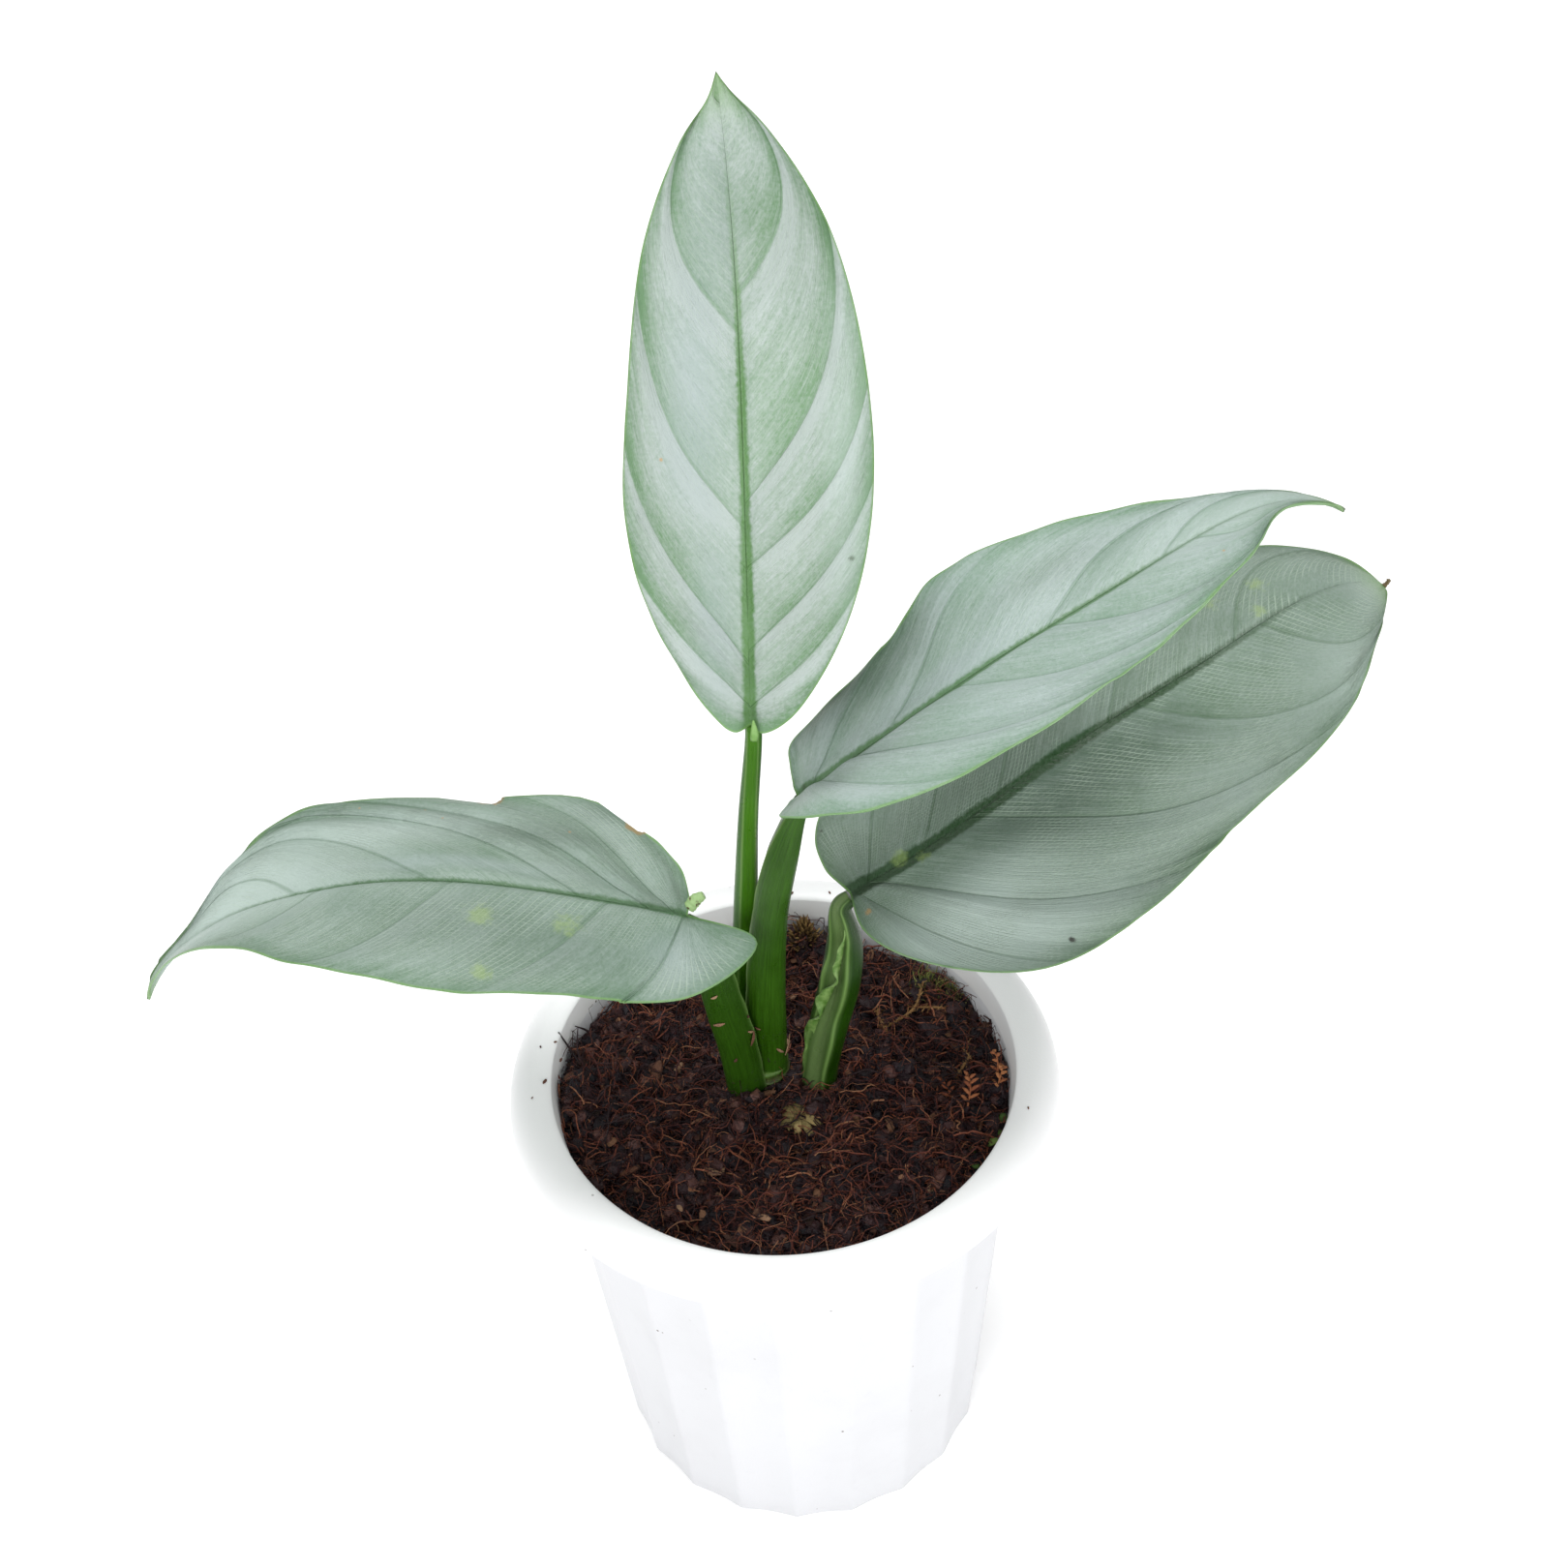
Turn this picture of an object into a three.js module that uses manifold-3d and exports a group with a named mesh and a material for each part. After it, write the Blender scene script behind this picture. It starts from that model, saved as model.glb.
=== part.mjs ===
// Potted Philodendron hastatum: four arrow-shaped silver-green blades on sheathed stalks,
// standing in the peaty soil of a fluted white nursery pot.
// Millimetres, +Z up. The origin is the middle of the pot's flat base.
// Azimuth is the compass direction in the XY plane, counted from +X towards +Y.

import * as THREE from "three";
import { mergeVertices } from "three/addons/utils/BufferGeometryUtils.js";
import Module from "manifold-3d";

const wasm = await Module();
wasm.setup();

// Driving dimensions

const clearance = 0.35;

const potSize = {
  height: 142,
  rimRadius: 75,
  rimInnerRadius: 63,
  rimCrestRadius: 67,
  lipDrop: 8,
  lipThickness: 1.6,
  lipHollow: 3.8,
  lipArcSteps: 4,
  innerEdgeDrop: 1.4,
  bodyTopRadius: 64.2,
  footRadius: 53,
  footChamfer: 1.2,
  floor: 2.4,
  wall: 1.3,
  ridges: 20,
  fluteDepth: 1.2,
  ridgeAzimuth: 12,
  segmentsPerRidge: 3,
  drainHoles: 8,
  drainRadius: 4,
  drainCircle: 30,
  drainSides: 12,
};

const soilSize = {
  level: 128.4,
  wallGap: 0.45,
  segments: 40,
  ringRadii: [9, 19, 29, 38, 47, 55],
  leftRise: 6,
  rightRise: 2,
  bankPower: 6,
  lumps: [
    { height: 0.65, x: 0.21, y: 0.19, phase: 0.7 },
    { height: 0.65, x: 0.21, y: -0.19, phase: 1.9 },
    { height: 0.91, x: 0.43, y: -0.37, phase: 2 },
    { height: 0.65, x: 0.5, y: 0.61, phase: 1.57 },
  ],
  mossMounds: [
    { x: 8, y: 55, height: 8, spread: 5 },
    { x: 42, y: 33, height: 5, spread: 8 },
  ],
};

const stemSize = {
  centre: [-5, 7],
  radius: 6.2,
  bottom: 78,
  top: 137.5,
  taper: 5,
  taperShare: 0.55,
  scarHeight: 1.6,
  scarBulge: 0.7,
  sides: 16,
  branch: {
    path: [[-4, 6.5, 98], [4, 4, 103], [8.2, 3.1, 111], [8.8, 3, 117.5]],
    radius: 4.4,
    steps: 8,
    sides: 6,
  },
  roots: {
    count: 5,
    radius: 1.5,
    from: 92,
    stagger: 2,
    reach: 38,
    drop: 48,
    kneeReach: 0.45,
    kneeDrop: 0.15,
    turn: 0.3,
    sway: 0.5,
    steps: 5,
    sides: 3,
  },
};

// Rows of the blade's grid follow the side veins, which leave the midrib near the base and sweep
// forward, so the last share of the margin crowds towards the tip.
const bladeMesh = {
  rows: 26,
  columns: [0.33, 0.62, 0.86, 1],
  stations: 60,
  veins: 6,
  firstFoot: 0.12,
  footPower: 1.6,
  sweepPower: 1.4,
};
const bladeThickness = {
  middle: 0.9,
  edge: 0.7,
  thinFrom: 15,
  ribHalfWidth: 1.8,
  ribShare: 0.3,
  ribStart: 2.5,
  ribTipShare: 0.15,
};
const reliefFade = 6;
const curlReach = 35;

// Blades. The outline of each half is [distance along the midrib, half width] from the sinus to
// the tip. Fold is the angle at the midrib and curl the further turn within curlReach of it;
// both, like azimuth, pitch and roll, run in equal steps from the base to the tip.

const blades = {
  upright: {
    base: [-1.9, 2.6, 262],
    length: 153,
    azimuth: [81, 86, 95],
    pitch: [73, 66, 55, 45],
    roll: [-4, -1, 0],
    ribDepth: 2.6,
    corrugation: 0.75,
    wave: { height: 0.8, count: 3.5, phase: 0.4 },
    left: {
      outline: [
        [-1.5, 4], [3.5, 10], [25, 22], [52, 28], [83, 26], [115, 20.5], [137, 10.5], [147.5, 2.5],
      ],
      fold: [6, 8, 4],
      curl: [-11, -8, -6],
    },
    right: {
      outline: [
        [-1.5, 3], [3, 10], [24, 22.5], [51, 29.5], [84, 29], [116, 22], [137.5, 11], [148, 2.8],
      ],
      fold: [9, 8, 5],
      curl: [-11, -8, -6],
    },
  },
  upper: {
    base: [8.1, 3.8, 236.7],
    length: 161,
    azimuth: [5, 15, 22],
    pitch: [36, 32, 23, 16, -43],
    roll: [-7, -5, -12],
    ribDepth: 2.4,
    corrugation: 0.9,
    wave: { height: 0.8, count: 3, phase: 1.1 },
    left: {
      outline: [
        [0, 11.5], [2, 18.5], [40, 26], [55, 33.5], [88, 29], [119, 18.5], [146, 6], [156, 2],
      ],
      fold: [4, 0, -9],
      curl: [16, 22, -2],
    },
    right: {
      outline: [
        [-3, 10], [6, 19], [26, 29], [58, 31.5], [87, 27], [122, 18], [136, 5], [156, 1.6],
      ],
      fold: [22, 10, 10],
      curl: [-26, -28, -24],
    },
  },
  lower: {
    base: [20.2, 4.7, 200.7],
    length: 179.5,
    azimuth: [20, 27, 32.5],
    pitch: [13, 22, 11, 8.5, -40],
    roll: [9, 18, 19],
    ribDepth: 2.6,
    corrugation: 0.8,
    wave: { height: 0.7, count: 3, phase: 2.2 },
    left: {
      outline: [
        [-2, 12.5], [2, 25.5], [27, 40], [63, 43], [99, 38.5], [133, 29.5], [160, 15], [175, 4.5],
      ],
      fold: [-7, -12, -4],
      curl: [-8, -17, -20],
    },
    right: {
      outline: [
        [-2, 12.5], [5, 26.5], [29, 43.5], [63, 46], [99, 40.5], [138, 31.5], [163, 16], [175, 4.5],
      ],
      fold: [1, -12, 1],
      curl: [-1, -22, -8],
    },
  },
  left: {
    base: [-21.2, -4.4, 206.3],
    length: 166,
    azimuth: [177, 170, 180],
    pitch: [18, 9, -12, -30, -67],
    roll: [4, 11, 5],
    ribDepth: 2.4,
    corrugation: 0.8,
    wave: { height: 0.7, count: 3, phase: 0.2 },
    left: {
      outline: [
        [-18, 5], [-3, 24], [36, 32.5], [60, 36], [93, 30], [117, 17.5], [149, 5.5], [161, 2],
      ],
      fold: [-6, 6, 16],
      curl: [-24, -28, -10],
    },
    right: {
      outline: [
        [0, 7], [5, 18], [28, 35], [58, 34.5], [108, 29.5], [124, 18], [138, 4], [161, 2.2],
      ],
      fold: [4, 6, 34],
      curl: [10, 3, 24],
      nicks: [{ along: 0.395, radius: 2.4 }, { along: 0.17, radius: 1.8 }],
    },
  },
};

// Stalks. The path runs from the soil to where it turns in under its blade. Widths, depths and
// grooves run in equal steps along it, and the groove is the share that is scooped out of the
// face that looks to facing, which turns to the blade's upper side at the top. The seat gap
// sets the stalk's end against the underside of the blade's sinus.

const stalks = {
  upright: {
    path: [[-11.4, 14.2, 124], [-9.9, 12.6, 150], [-7.2, 9.8, 187], [-4.2, 7.4, 228]],
    width: [7.6, 7, 6.4, 5.1, 4],
    depth: [6.6, 6.2, 5.6, 4.9, 4],
    facing: -75,
    groove: [0.1, 0.15, 0.2, 0.25, 0.2],
    ruffle: 0,
    seatGap: -0.3,
  },
  upper: {
    path: [[-4.8, 6.6, 132], [-4.2, 6, 150], [-3.3, 5.5, 170], [-0.6, 4.8, 198], [3, 4.3, 216]],
    width: [9, 8.8, 8.4, 7.6, 7, 5],
    depth: [12.2, 12, 11.2, 10.3, 9.6, 4.6],
    facing: 160,
    groove: [0.2, 0.25, 0.3, 0.35, 0.4, 0.1],
    ruffle: 0,
    seatGap: -0.4,
  },
  lower: {
    path: [[8.8, 3, 118], [10.1, 3, 136], [13.2, 3.5, 153], [16.8, 4, 169], [18.4, 4.3, 184]],
    width: [9.6, 10, 10.6, 11, 9.6, 4.4],
    depth: [9.6, 10, 10.4, 10.4, 8.6, 4.4],
    facing: 235,
    groove: [0.1, 0.2, 0.5, 0.62, 0.6, 0.1],
    ruffle: 0.12,
    seatGap: -0.1,
  },
  left: {
    path: [[-9.4, 1, 124], [-11.4, 0.6, 150], [-14.3, -1, 171], [-16.6, -2.2, 188]],
    width: [9, 8.6, 8, 7, 4.6],
    depth: [11.4, 11.6, 11.7, 10, 4.6],
    facing: 25,
    groove: [0.2, 0.3, 0.35, 0.4, 0.1],
    ruffle: 0,
    seatGap: 0.15,
  },
};
const stalkMesh = {
  steps: 14,
  sides: 16,
  turnPower: 4,
  turnInBack: 3,
  turnInBelow: 1.5,
  grooveSpread: 0.55,
  ruffleWaves: 3.5,
  ruffleAngle: 0.75,
  ruffleSpread: 0.3,
};

// Small helpers

const radians = THREE.MathUtils.degToRad;
const vector = ([x, y, z]) => new THREE.Vector3(x, y, z);
const bell = (x) => Math.exp(-x * x);

// The smooth value at share s of a list of values in equal steps.
function along(values, s) {
  const last = values.length - 1;
  const place = THREE.MathUtils.clamp(s, 0, 1) * last;
  const i = Math.min(Math.floor(place), last - 1);
  const t = place - i;
  const before = i > 0 ? values[i - 1] : 2 * values[0] - values[1];
  const after = i + 2 <= last ? values[i + 2] : 2 * values[last] - values[last - 1];
  const [a, b] = [values[i], values[i + 1]];
  return 0.5 * (2 * a + (b - before) * t + (2 * before - 5 * a + 4 * b - after) * t * t
    + (3 * a - before - 3 * b + after) * t ** 3);
}

// A closed solid from corner points and triangles. Corners that coincide are merged, and the
// triangles that this flattens are dropped. The solid is turned the right way out.
function closedSolid(points, triangles) {
  const raw = new THREE.BufferGeometry().setFromPoints(points);
  raw.setIndex(triangles);
  return solidFrom(raw);
}

function solidFrom(geometry) {
  geometry.deleteAttribute("normal");
  geometry.deleteAttribute("uv");
  const merged = mergeVertices(geometry, 1e-4);
  const corners = merged.index.array;
  const positions = merged.attributes.position.array;
  const kept = [];
  for (let i = 0; i < corners.length; i += 3) {
    const [a, b, c] = [corners[i], corners[i + 1], corners[i + 2]];
    if (a !== b && b !== c && c !== a) kept.push(a, b, c);
  }
  if (volumeOf(positions, kept) < 0) kept.reverse();
  return new wasm.Manifold(new wasm.Mesh({
    numProp: 3,
    vertProperties: new Float32Array(positions),
    triVerts: new Uint32Array(kept),
  }));
}

function volumeOf(positions, corners) {
  const [a, b, c] = [new THREE.Vector3(), new THREE.Vector3(), new THREE.Vector3()];
  let sum = 0;
  for (let i = 0; i < corners.length; i += 3) {
    a.fromArray(positions, 3 * corners[i]);
    b.fromArray(positions, 3 * corners[i + 1]);
    c.fromArray(positions, 3 * corners[i + 2]);
    sum += a.dot(b.cross(c));
  }
  return sum / 6;
}

// The largest body of a solid that a cut may have left in several.
function largestBody(solid) {
  return solid.decompose().sort((a, b) => b.volume() - a.volume())[0];
}

// A solid through rings of points, with its ends closed to their middles.
function loft(rings) {
  const count = rings[0].length;
  const middle = (ring) => {
    const sum = ring.reduce((total, point) => total.add(point), new THREE.Vector3());
    return sum.divideScalar(count);
  };
  const points = [...rings.flat(), middle(rings[0]), middle(rings[rings.length - 1])];
  const triangles = [];
  for (let i = 0; i < rings.length - 1; i += 1) {
    for (let k = 0; k < count; k += 1) {
      const next = (k + 1) % count;
      const [a, b] = [i * count + k, i * count + next];
      triangles.push(a, b, b + count, a, b + count, a + count);
    }
  }
  const lastRing = (rings.length - 1) * count;
  for (let k = 0; k < count; k += 1) {
    const next = (k + 1) % count;
    triangles.push(next, k, points.length - 2);
    triangles.push(lastRing + k, lastRing + next, points.length - 1);
  }
  return closedSolid(points, triangles);
}

// A round bar along a path, with its far end pushed out by grow.
function tube({ path, radius, steps, sides }, grow) {
  const outline = new THREE.Shape();
  outline.absarc(0, 0, radius + grow, 0, 2 * Math.PI);
  const points = path.map(vector);
  const [end, before] = [points[points.length - 1], points[points.length - 2]];
  end.addScaledVector(end.clone().sub(before).normalize(), grow);
  const route = new THREE.CatmullRomCurve3(points, false, "centripetal");
  return solidFrom(new THREE.ExtrudeGeometry(outline, {
    steps,
    curveSegments: sides,
    extrudePath: route,
  }));
}

// The pot

// How far the body's skin lies inside the ridge line at an azimuth.
function fluteAt(azimuth) {
  const turn = azimuth - radians(potSize.ridgeAzimuth);
  return potSize.fluteDepth * Math.abs(Math.sin(potSize.ridges * turn / 2));
}

function potInnerRadius(z) {
  const top = potSize.bodyTopRadius - potSize.fluteDepth - potSize.wall;
  const bottom = potSize.footRadius - potSize.fluteDepth - potSize.wall;
  const lipFoot = potSize.height - potSize.lipDrop;
  return THREE.MathUtils.mapLinear(z, 0, lipFoot, bottom, top);
}

// Points of a quarter turn of an ellipse between two angles, in degrees.
function arc(radius, z, across, rise, from, to) {
  return Array.from({ length: potSize.lipArcSteps + 1 }, (_, i) => {
    const angle = radians(from + ((to - from) * i) / potSize.lipArcSteps);
    return [radius + across * Math.cos(angle), z + rise * Math.sin(angle), 0];
  });
}

// Rings from the middle of the base, up the outside, round the hollow lip, over its crest and
// down to the floor: [radius, height, share of the flutes].
function potProfile() {
  const { height, lipDrop, lipThickness, rimRadius, rimInnerRadius, rimCrestRadius } = potSize;
  const lipFoot = height - lipDrop;
  const lipReach = rimRadius - rimCrestRadius;
  const edge = height - potSize.innerEdgeDrop;
  return [
    [0, 0, 0],
    [potSize.footRadius - potSize.footChamfer, 0, 1],
    [potSize.footRadius, potSize.footChamfer, 1],
    [potSize.bodyTopRadius, lipFoot, 1],
    [potSize.bodyTopRadius, lipFoot + potSize.lipHollow, 0],
    ...arc(rimCrestRadius, lipFoot, lipReach - lipThickness, lipDrop - lipThickness, 45, 0),
    ...arc(rimCrestRadius, lipFoot, lipReach, lipDrop, 0, 90),
    ...arc(rimCrestRadius, edge, rimCrestRadius - rimInnerRadius, height - edge, 90, 180).slice(1),
    [potInnerRadius(lipFoot), lipFoot, 0],
    [potInnerRadius(potSize.floor), potSize.floor, 0],
    [0, potSize.floor, 0],
  ];
}

function potSolid() {
  const segments = potSize.ridges * potSize.segmentsPerRidge;
  const profile = potProfile();
  const points = [];
  for (const [radius, z, fluted] of profile) {
    for (let k = 0; k < segments; k += 1) {
      const azimuth = radians(potSize.ridgeAzimuth) + (2 * Math.PI * k) / segments;
      const r = radius - fluted * fluteAt(azimuth);
      points.push(radius === 0
        ? new THREE.Vector3(0, 0, z)
        : new THREE.Vector3(r * Math.cos(azimuth), r * Math.sin(azimuth), z));
    }
  }
  const triangles = [];
  for (let i = 0; i < profile.length - 1; i += 1) {
    for (let k = 0; k < segments; k += 1) {
      const [a, b] = [i * segments + k, i * segments + ((k + 1) % segments)];
      triangles.push(a, b, b + segments, a, b + segments, a + segments);
    }
  }
  let solid = closedSolid(points, triangles);
  for (let k = 0; k < potSize.drainHoles; k += 1) {
    const azimuth = (2 * Math.PI * (k + 0.5)) / potSize.drainHoles;
    const { drainRadius, drainCircle, drainSides } = potSize;
    const drill = new THREE.CylinderGeometry(drainRadius, drainRadius, 4 * potSize.floor, drainSides);
    drill.rotateX(Math.PI / 2);
    drill.translate(drainCircle * Math.cos(azimuth), drainCircle * Math.sin(azimuth), 0);
    solid = solid.subtract(solidFrom(drill));
  }
  return solid;
}

// The soil

function soilHeight(x, y) {
  const side = x < 0 ? soilSize.leftRise : soilSize.rightRise;
  const bank = side * (x / potSize.rimInnerRadius) ** soilSize.bankPower;
  const lumps = soilSize.lumps.reduce((sum, lump) => (
    sum + lump.height * Math.sin(lump.x * x + lump.y * y + lump.phase)
  ), 0);
  const mounds = soilSize.mossMounds.reduce((sum, mound) => {
    const away = Math.hypot(x - mound.x, y - mound.y) / mound.spread;
    return sum + mound.height * bell(away);
  }, 0);
  return soilSize.level + bank + lumps + mounds;
}

function soilSolid() {
  const { segments, ringRadii } = soilSize;
  const bottom = potSize.floor + clearance;
  const rings = [];
  const ring = (radius, heightAt) => Array.from({ length: segments }, (_, k) => {
    const azimuth = (2 * Math.PI * k) / segments;
    const [x, y] = [radius * Math.cos(azimuth), radius * Math.sin(azimuth)];
    return new THREE.Vector3(x, y, heightAt(x, y));
  });
  rings.push(ring(potInnerRadius(bottom) - soilSize.wallGap, () => bottom));
  const edge = potInnerRadius(soilSize.level) - soilSize.wallGap;
  rings.push(ring(edge, soilHeight));
  for (const radius of ringRadii.slice().reverse()) rings.push(ring(radius, soilHeight));
  return loft(rings);
}

// The stem

function stemCore(grow = 0) {
  const [cx, cy] = stemSize.centre;
  const { radius, bottom, top, taper, taperShare, scarHeight, scarBulge, sides } = stemSize;
  const profile = [
    [bottom - grow, taperShare * radius],
    [bottom + taper, radius],
    [top - 3 * scarHeight, radius],
    [top - 2.2 * scarHeight, radius + scarBulge],
    [top - 1.4 * scarHeight, radius],
    [top - 0.5 * scarHeight, radius + scarBulge / 2],
    [top + grow, radius - scarBulge / 2],
  ];
  const rings = profile.map(([z, r]) => Array.from({ length: sides }, (_, k) => {
    const azimuth = (2 * Math.PI * k) / sides;
    const reach = r + grow;
    return new THREE.Vector3(cx + reach * Math.cos(azimuth), cy + reach * Math.sin(azimuth), z);
  }));
  return loft(rings);
}

function stemSolid(grow = 0) {
  const [cx, cy] = stemSize.centre;
  const { branch, roots } = stemSize;
  const at = (distance, turn, z) => [
    cx + distance * Math.cos(turn),
    cy + distance * Math.sin(turn),
    z,
  ];
  let solid = stemCore(grow).add(tube(branch, grow));
  for (let k = 0; k < roots.count; k += 1) {
    const azimuth = (2 * Math.PI * (k + roots.turn)) / roots.count;
    const bend = azimuth + roots.sway * Math.sin(3 * k);
    const start = roots.from - roots.stagger * k;
    const path = [
      at(stemSize.radius - roots.radius, azimuth, start),
      at(roots.kneeReach * roots.reach, azimuth, start - roots.kneeDrop * roots.drop),
      at(roots.reach, bend, start - roots.drop),
    ];
    solid = solid.add(tube({ ...roots, path }, grow));
  }
  return solid;
}

// The stalks

// The stalk's path with its end, which runs in under the blade's sinus and up to the rib.
function stalkPath(stalk, blade) {
  const { position, forward, upper } = midribOf(blade)[0];
  const last = stalk.depth.length - 1;
  const endHeight = (stalk.depth[last] / 2) * (1 - stalk.groove[last]);
  const seat = position.clone()
    .addScaledVector(upper, -endHeight - bladeThickness.middle / 2 - stalk.seatGap);
  const turnIn = seat.clone()
    .addScaledVector(forward, -stalkMesh.turnInBack)
    .addScaledVector(upper, -stalkMesh.turnInBelow);
  const points = [...stalk.path.map(vector), turnIn, seat];
  return new THREE.CatmullRomCurve3(points, false, "centripetal");
}

function stalkSolid(name, grow = 0) {
  const stalk = stalks[name];
  const path = stalkPath(stalk, blades[name]);
  const compass = radians(stalk.facing);
  const facing = new THREE.Vector3(Math.cos(compass), Math.sin(compass), 0);
  const { upper } = midribOf(blades[name])[0];
  const rings = [];
  for (let i = 0; i <= stalkMesh.steps; i += 1) {
    const s = i / stalkMesh.steps;
    const forward = path.getTangentAt(s);
    const centre = path.getPointAt(s);
    if (i === 0) centre.addScaledVector(forward, -grow);
    if (i === stalkMesh.steps) centre.addScaledVector(forward, grow);
    const face = facing.clone().lerp(upper, s ** stalkMesh.turnPower);
    face.addScaledVector(forward, -face.dot(forward)).normalize();
    const side = forward.clone().cross(face);
    const [width, depth] = [along(stalk.width, s) + 2 * grow, along(stalk.depth, s) + 2 * grow];
    const groove = along(stalk.groove, s);
    const ring = [];
    for (let k = 0; k < stalkMesh.sides; k += 1) {
      const angle = (2 * Math.PI * k) / stalkMesh.sides;
      const fromFace = Math.acos(Math.min(1, Math.sin(angle)));
      const scoop = 1 - groove * bell(fromFace / stalkMesh.grooveSpread);
      const lip = bell((fromFace - stalkMesh.ruffleAngle) / stalkMesh.ruffleSpread);
      const flutter = Math.sin(2 * Math.PI * stalkMesh.ruffleWaves * s) * Math.sin(Math.PI * s);
      const reach = scoop * (1 + stalk.ruffle * lip * flutter);
      ring.push(centre.clone()
        .addScaledVector(side, 0.5 * width * reach * Math.cos(angle))
        .addScaledVector(face, 0.5 * depth * reach * Math.sin(angle)));
    }
    rings.push(ring);
  }
  return loft(rings);
}

// The blades

// Points along the midrib, each with its forward, side and upper-face directions.
function midribOf(blade) {
  const stations = [];
  const position = vector(blade.base);
  for (let i = 0; i <= bladeMesh.stations; i += 1) {
    const s = i / bladeMesh.stations;
    const azimuth = radians(along(blade.azimuth, s));
    const pitch = radians(along(blade.pitch, s));
    const roll = radians(along(blade.roll, s));
    const forward = new THREE.Vector3(
      Math.cos(pitch) * Math.cos(azimuth),
      Math.cos(pitch) * Math.sin(azimuth),
      Math.sin(pitch),
    );
    const level = new THREE.Vector3(-Math.sin(azimuth), Math.cos(azimuth), 0);
    const up = forward.clone().cross(level);
    if (i > 0) {
      const step = blade.length / bladeMesh.stations;
      position.addScaledVector(stations[i - 1].forward, step / 2).addScaledVector(forward, step / 2);
    }
    stations.push({
      position: position.clone(),
      forward,
      side: level.clone().multiplyScalar(Math.cos(roll)).addScaledVector(up, Math.sin(roll)),
      upper: up.clone().multiplyScalar(Math.cos(roll)).addScaledVector(level, -Math.sin(roll)),
    });
  }
  return stations;
}

// The point and the upper-face direction of a flat blade place: x along the midrib and y to the
// side, in millimetres, with lift above the curved surface.
function onBlade(blade, stations, x, y, lift) {
  const u = THREE.MathUtils.clamp(x / blade.length, 0, 1);
  const place = u * bladeMesh.stations;
  const i = Math.min(Math.floor(place), bladeMesh.stations - 1);
  const mix = (key) => stations[i][key].clone().lerp(stations[i + 1][key], place - i);
  const half = y >= 0 ? blade.left : blade.right;
  const fold = radians(along(half.fold, u));
  const bend = radians(along(half.curl, u)) / curlReach;
  const turn = Math.abs(bend) < 1e-6 ? 1e-6 : bend;
  const reach = Math.abs(y);
  const across = Math.sign(y) * (Math.sin(fold + turn * reach) - Math.sin(fold)) / turn;
  const height = (Math.cos(fold) - Math.cos(fold + turn * reach)) / turn;
  const slope = (fold + turn * reach) * Math.min(1, reach);
  const [side, upper] = [mix("side"), mix("upper")];
  const normal = upper.clone().multiplyScalar(Math.cos(slope));
  normal.addScaledVector(side, -Math.sign(y) * Math.sin(slope)).normalize();
  const point = mix("position")
    .addScaledVector(mix("forward"), Math.min(x, 0))
    .addScaledVector(side, across)
    .addScaledVector(upper, height)
    .addScaledVector(normal, lift);
  return { point, normal };
}

function marginOf(blade, half) {
  const outline = [[0, 0], ...half.outline, [blade.length, 0]];
  const points = outline.map(([x, y]) => new THREE.Vector3(x, y, 0));
  return new THREE.CatmullRomCurve3(points, false, "centripetal").getSpacedPoints(bladeMesh.rows);
}

// Where the vein that ends at share t of the margin leaves the midrib, as a share of the length.
function veinFoot(t) {
  const { firstFoot, footPower } = bladeMesh;
  return Math.max(0, (t - firstFoot) / (1 - firstFoot)) ** footPower;
}

function bladeSolid(blade) {
  const stations = midribOf(blade);
  const margins = { left: marginOf(blade, blade.left), right: marginOf(blade, blade.right) };
  const { middle, edge: thin, thinFrom, ribHalfWidth, ribShare, ribStart, ribTipShare } = bladeThickness;
  const upper = [];
  const lower = [];
  for (let row = 0; row <= bladeMesh.rows; row += 1) {
    const t = row / bladeMesh.rows;
    const foot = veinFoot(t) * blade.length;
    const flat = [{ x: foot, y: 0, v: 0 }];
    for (const [half, sign] of [["left", 1], ["right", -1]]) {
      const edge = margins[half][row];
      const halfRow = [{ x: foot, y: sign * Math.min(ribHalfWidth, ribShare * edge.y), v: 0 }];
      for (const v of bladeMesh.columns) {
        const x = THREE.MathUtils.lerp(foot, edge.x, v ** bladeMesh.sweepPower);
        halfRow.push({ x, y: sign * edge.y * v, v });
      }
      if (half === "left") flat.unshift(...halfRow.reverse());
      else flat.push(...halfRow);
    }
    for (const { x, y, v } of flat) {
      const reach = Math.abs(y);
      const fade = Math.min(1, reach / reliefFade);
      const ripple = 4 * v * (1 - v) * Math.cos(2 * Math.PI * bladeMesh.veins * t);
      const { height, count, phase } = blade.wave;
      const wave = height * v ** 3 * Math.sin(2 * Math.PI * count * t + phase + Math.sign(y));
      const lift = fade * (blade.corrugation * ripple + wave);
      const { point, normal } = onBlade(blade, stations, x, y, lift);
      const thickness = THREE.MathUtils.lerp(middle, thin, Math.min(1, reach / thinFrom));
      const u = THREE.MathUtils.clamp(x / blade.length, 0, 1);
      const ribTaper = THREE.MathUtils.lerp(1, ribTipShare, u);
      const ribRamp = THREE.MathUtils.clamp(x / ribStart, 0, 1);
      const rib = blade.ribDepth * ribTaper * ribRamp * Math.max(0, 1 - reach / ribHalfWidth);
      upper.push(point.clone().addScaledVector(normal, thickness / 2));
      lower.push(point.clone().addScaledVector(normal, -thickness / 2 - rib));
    }
  }
  return sheetSolid(upper, lower, 2 * (bladeMesh.columns.length + 1) + 1);
}

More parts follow.
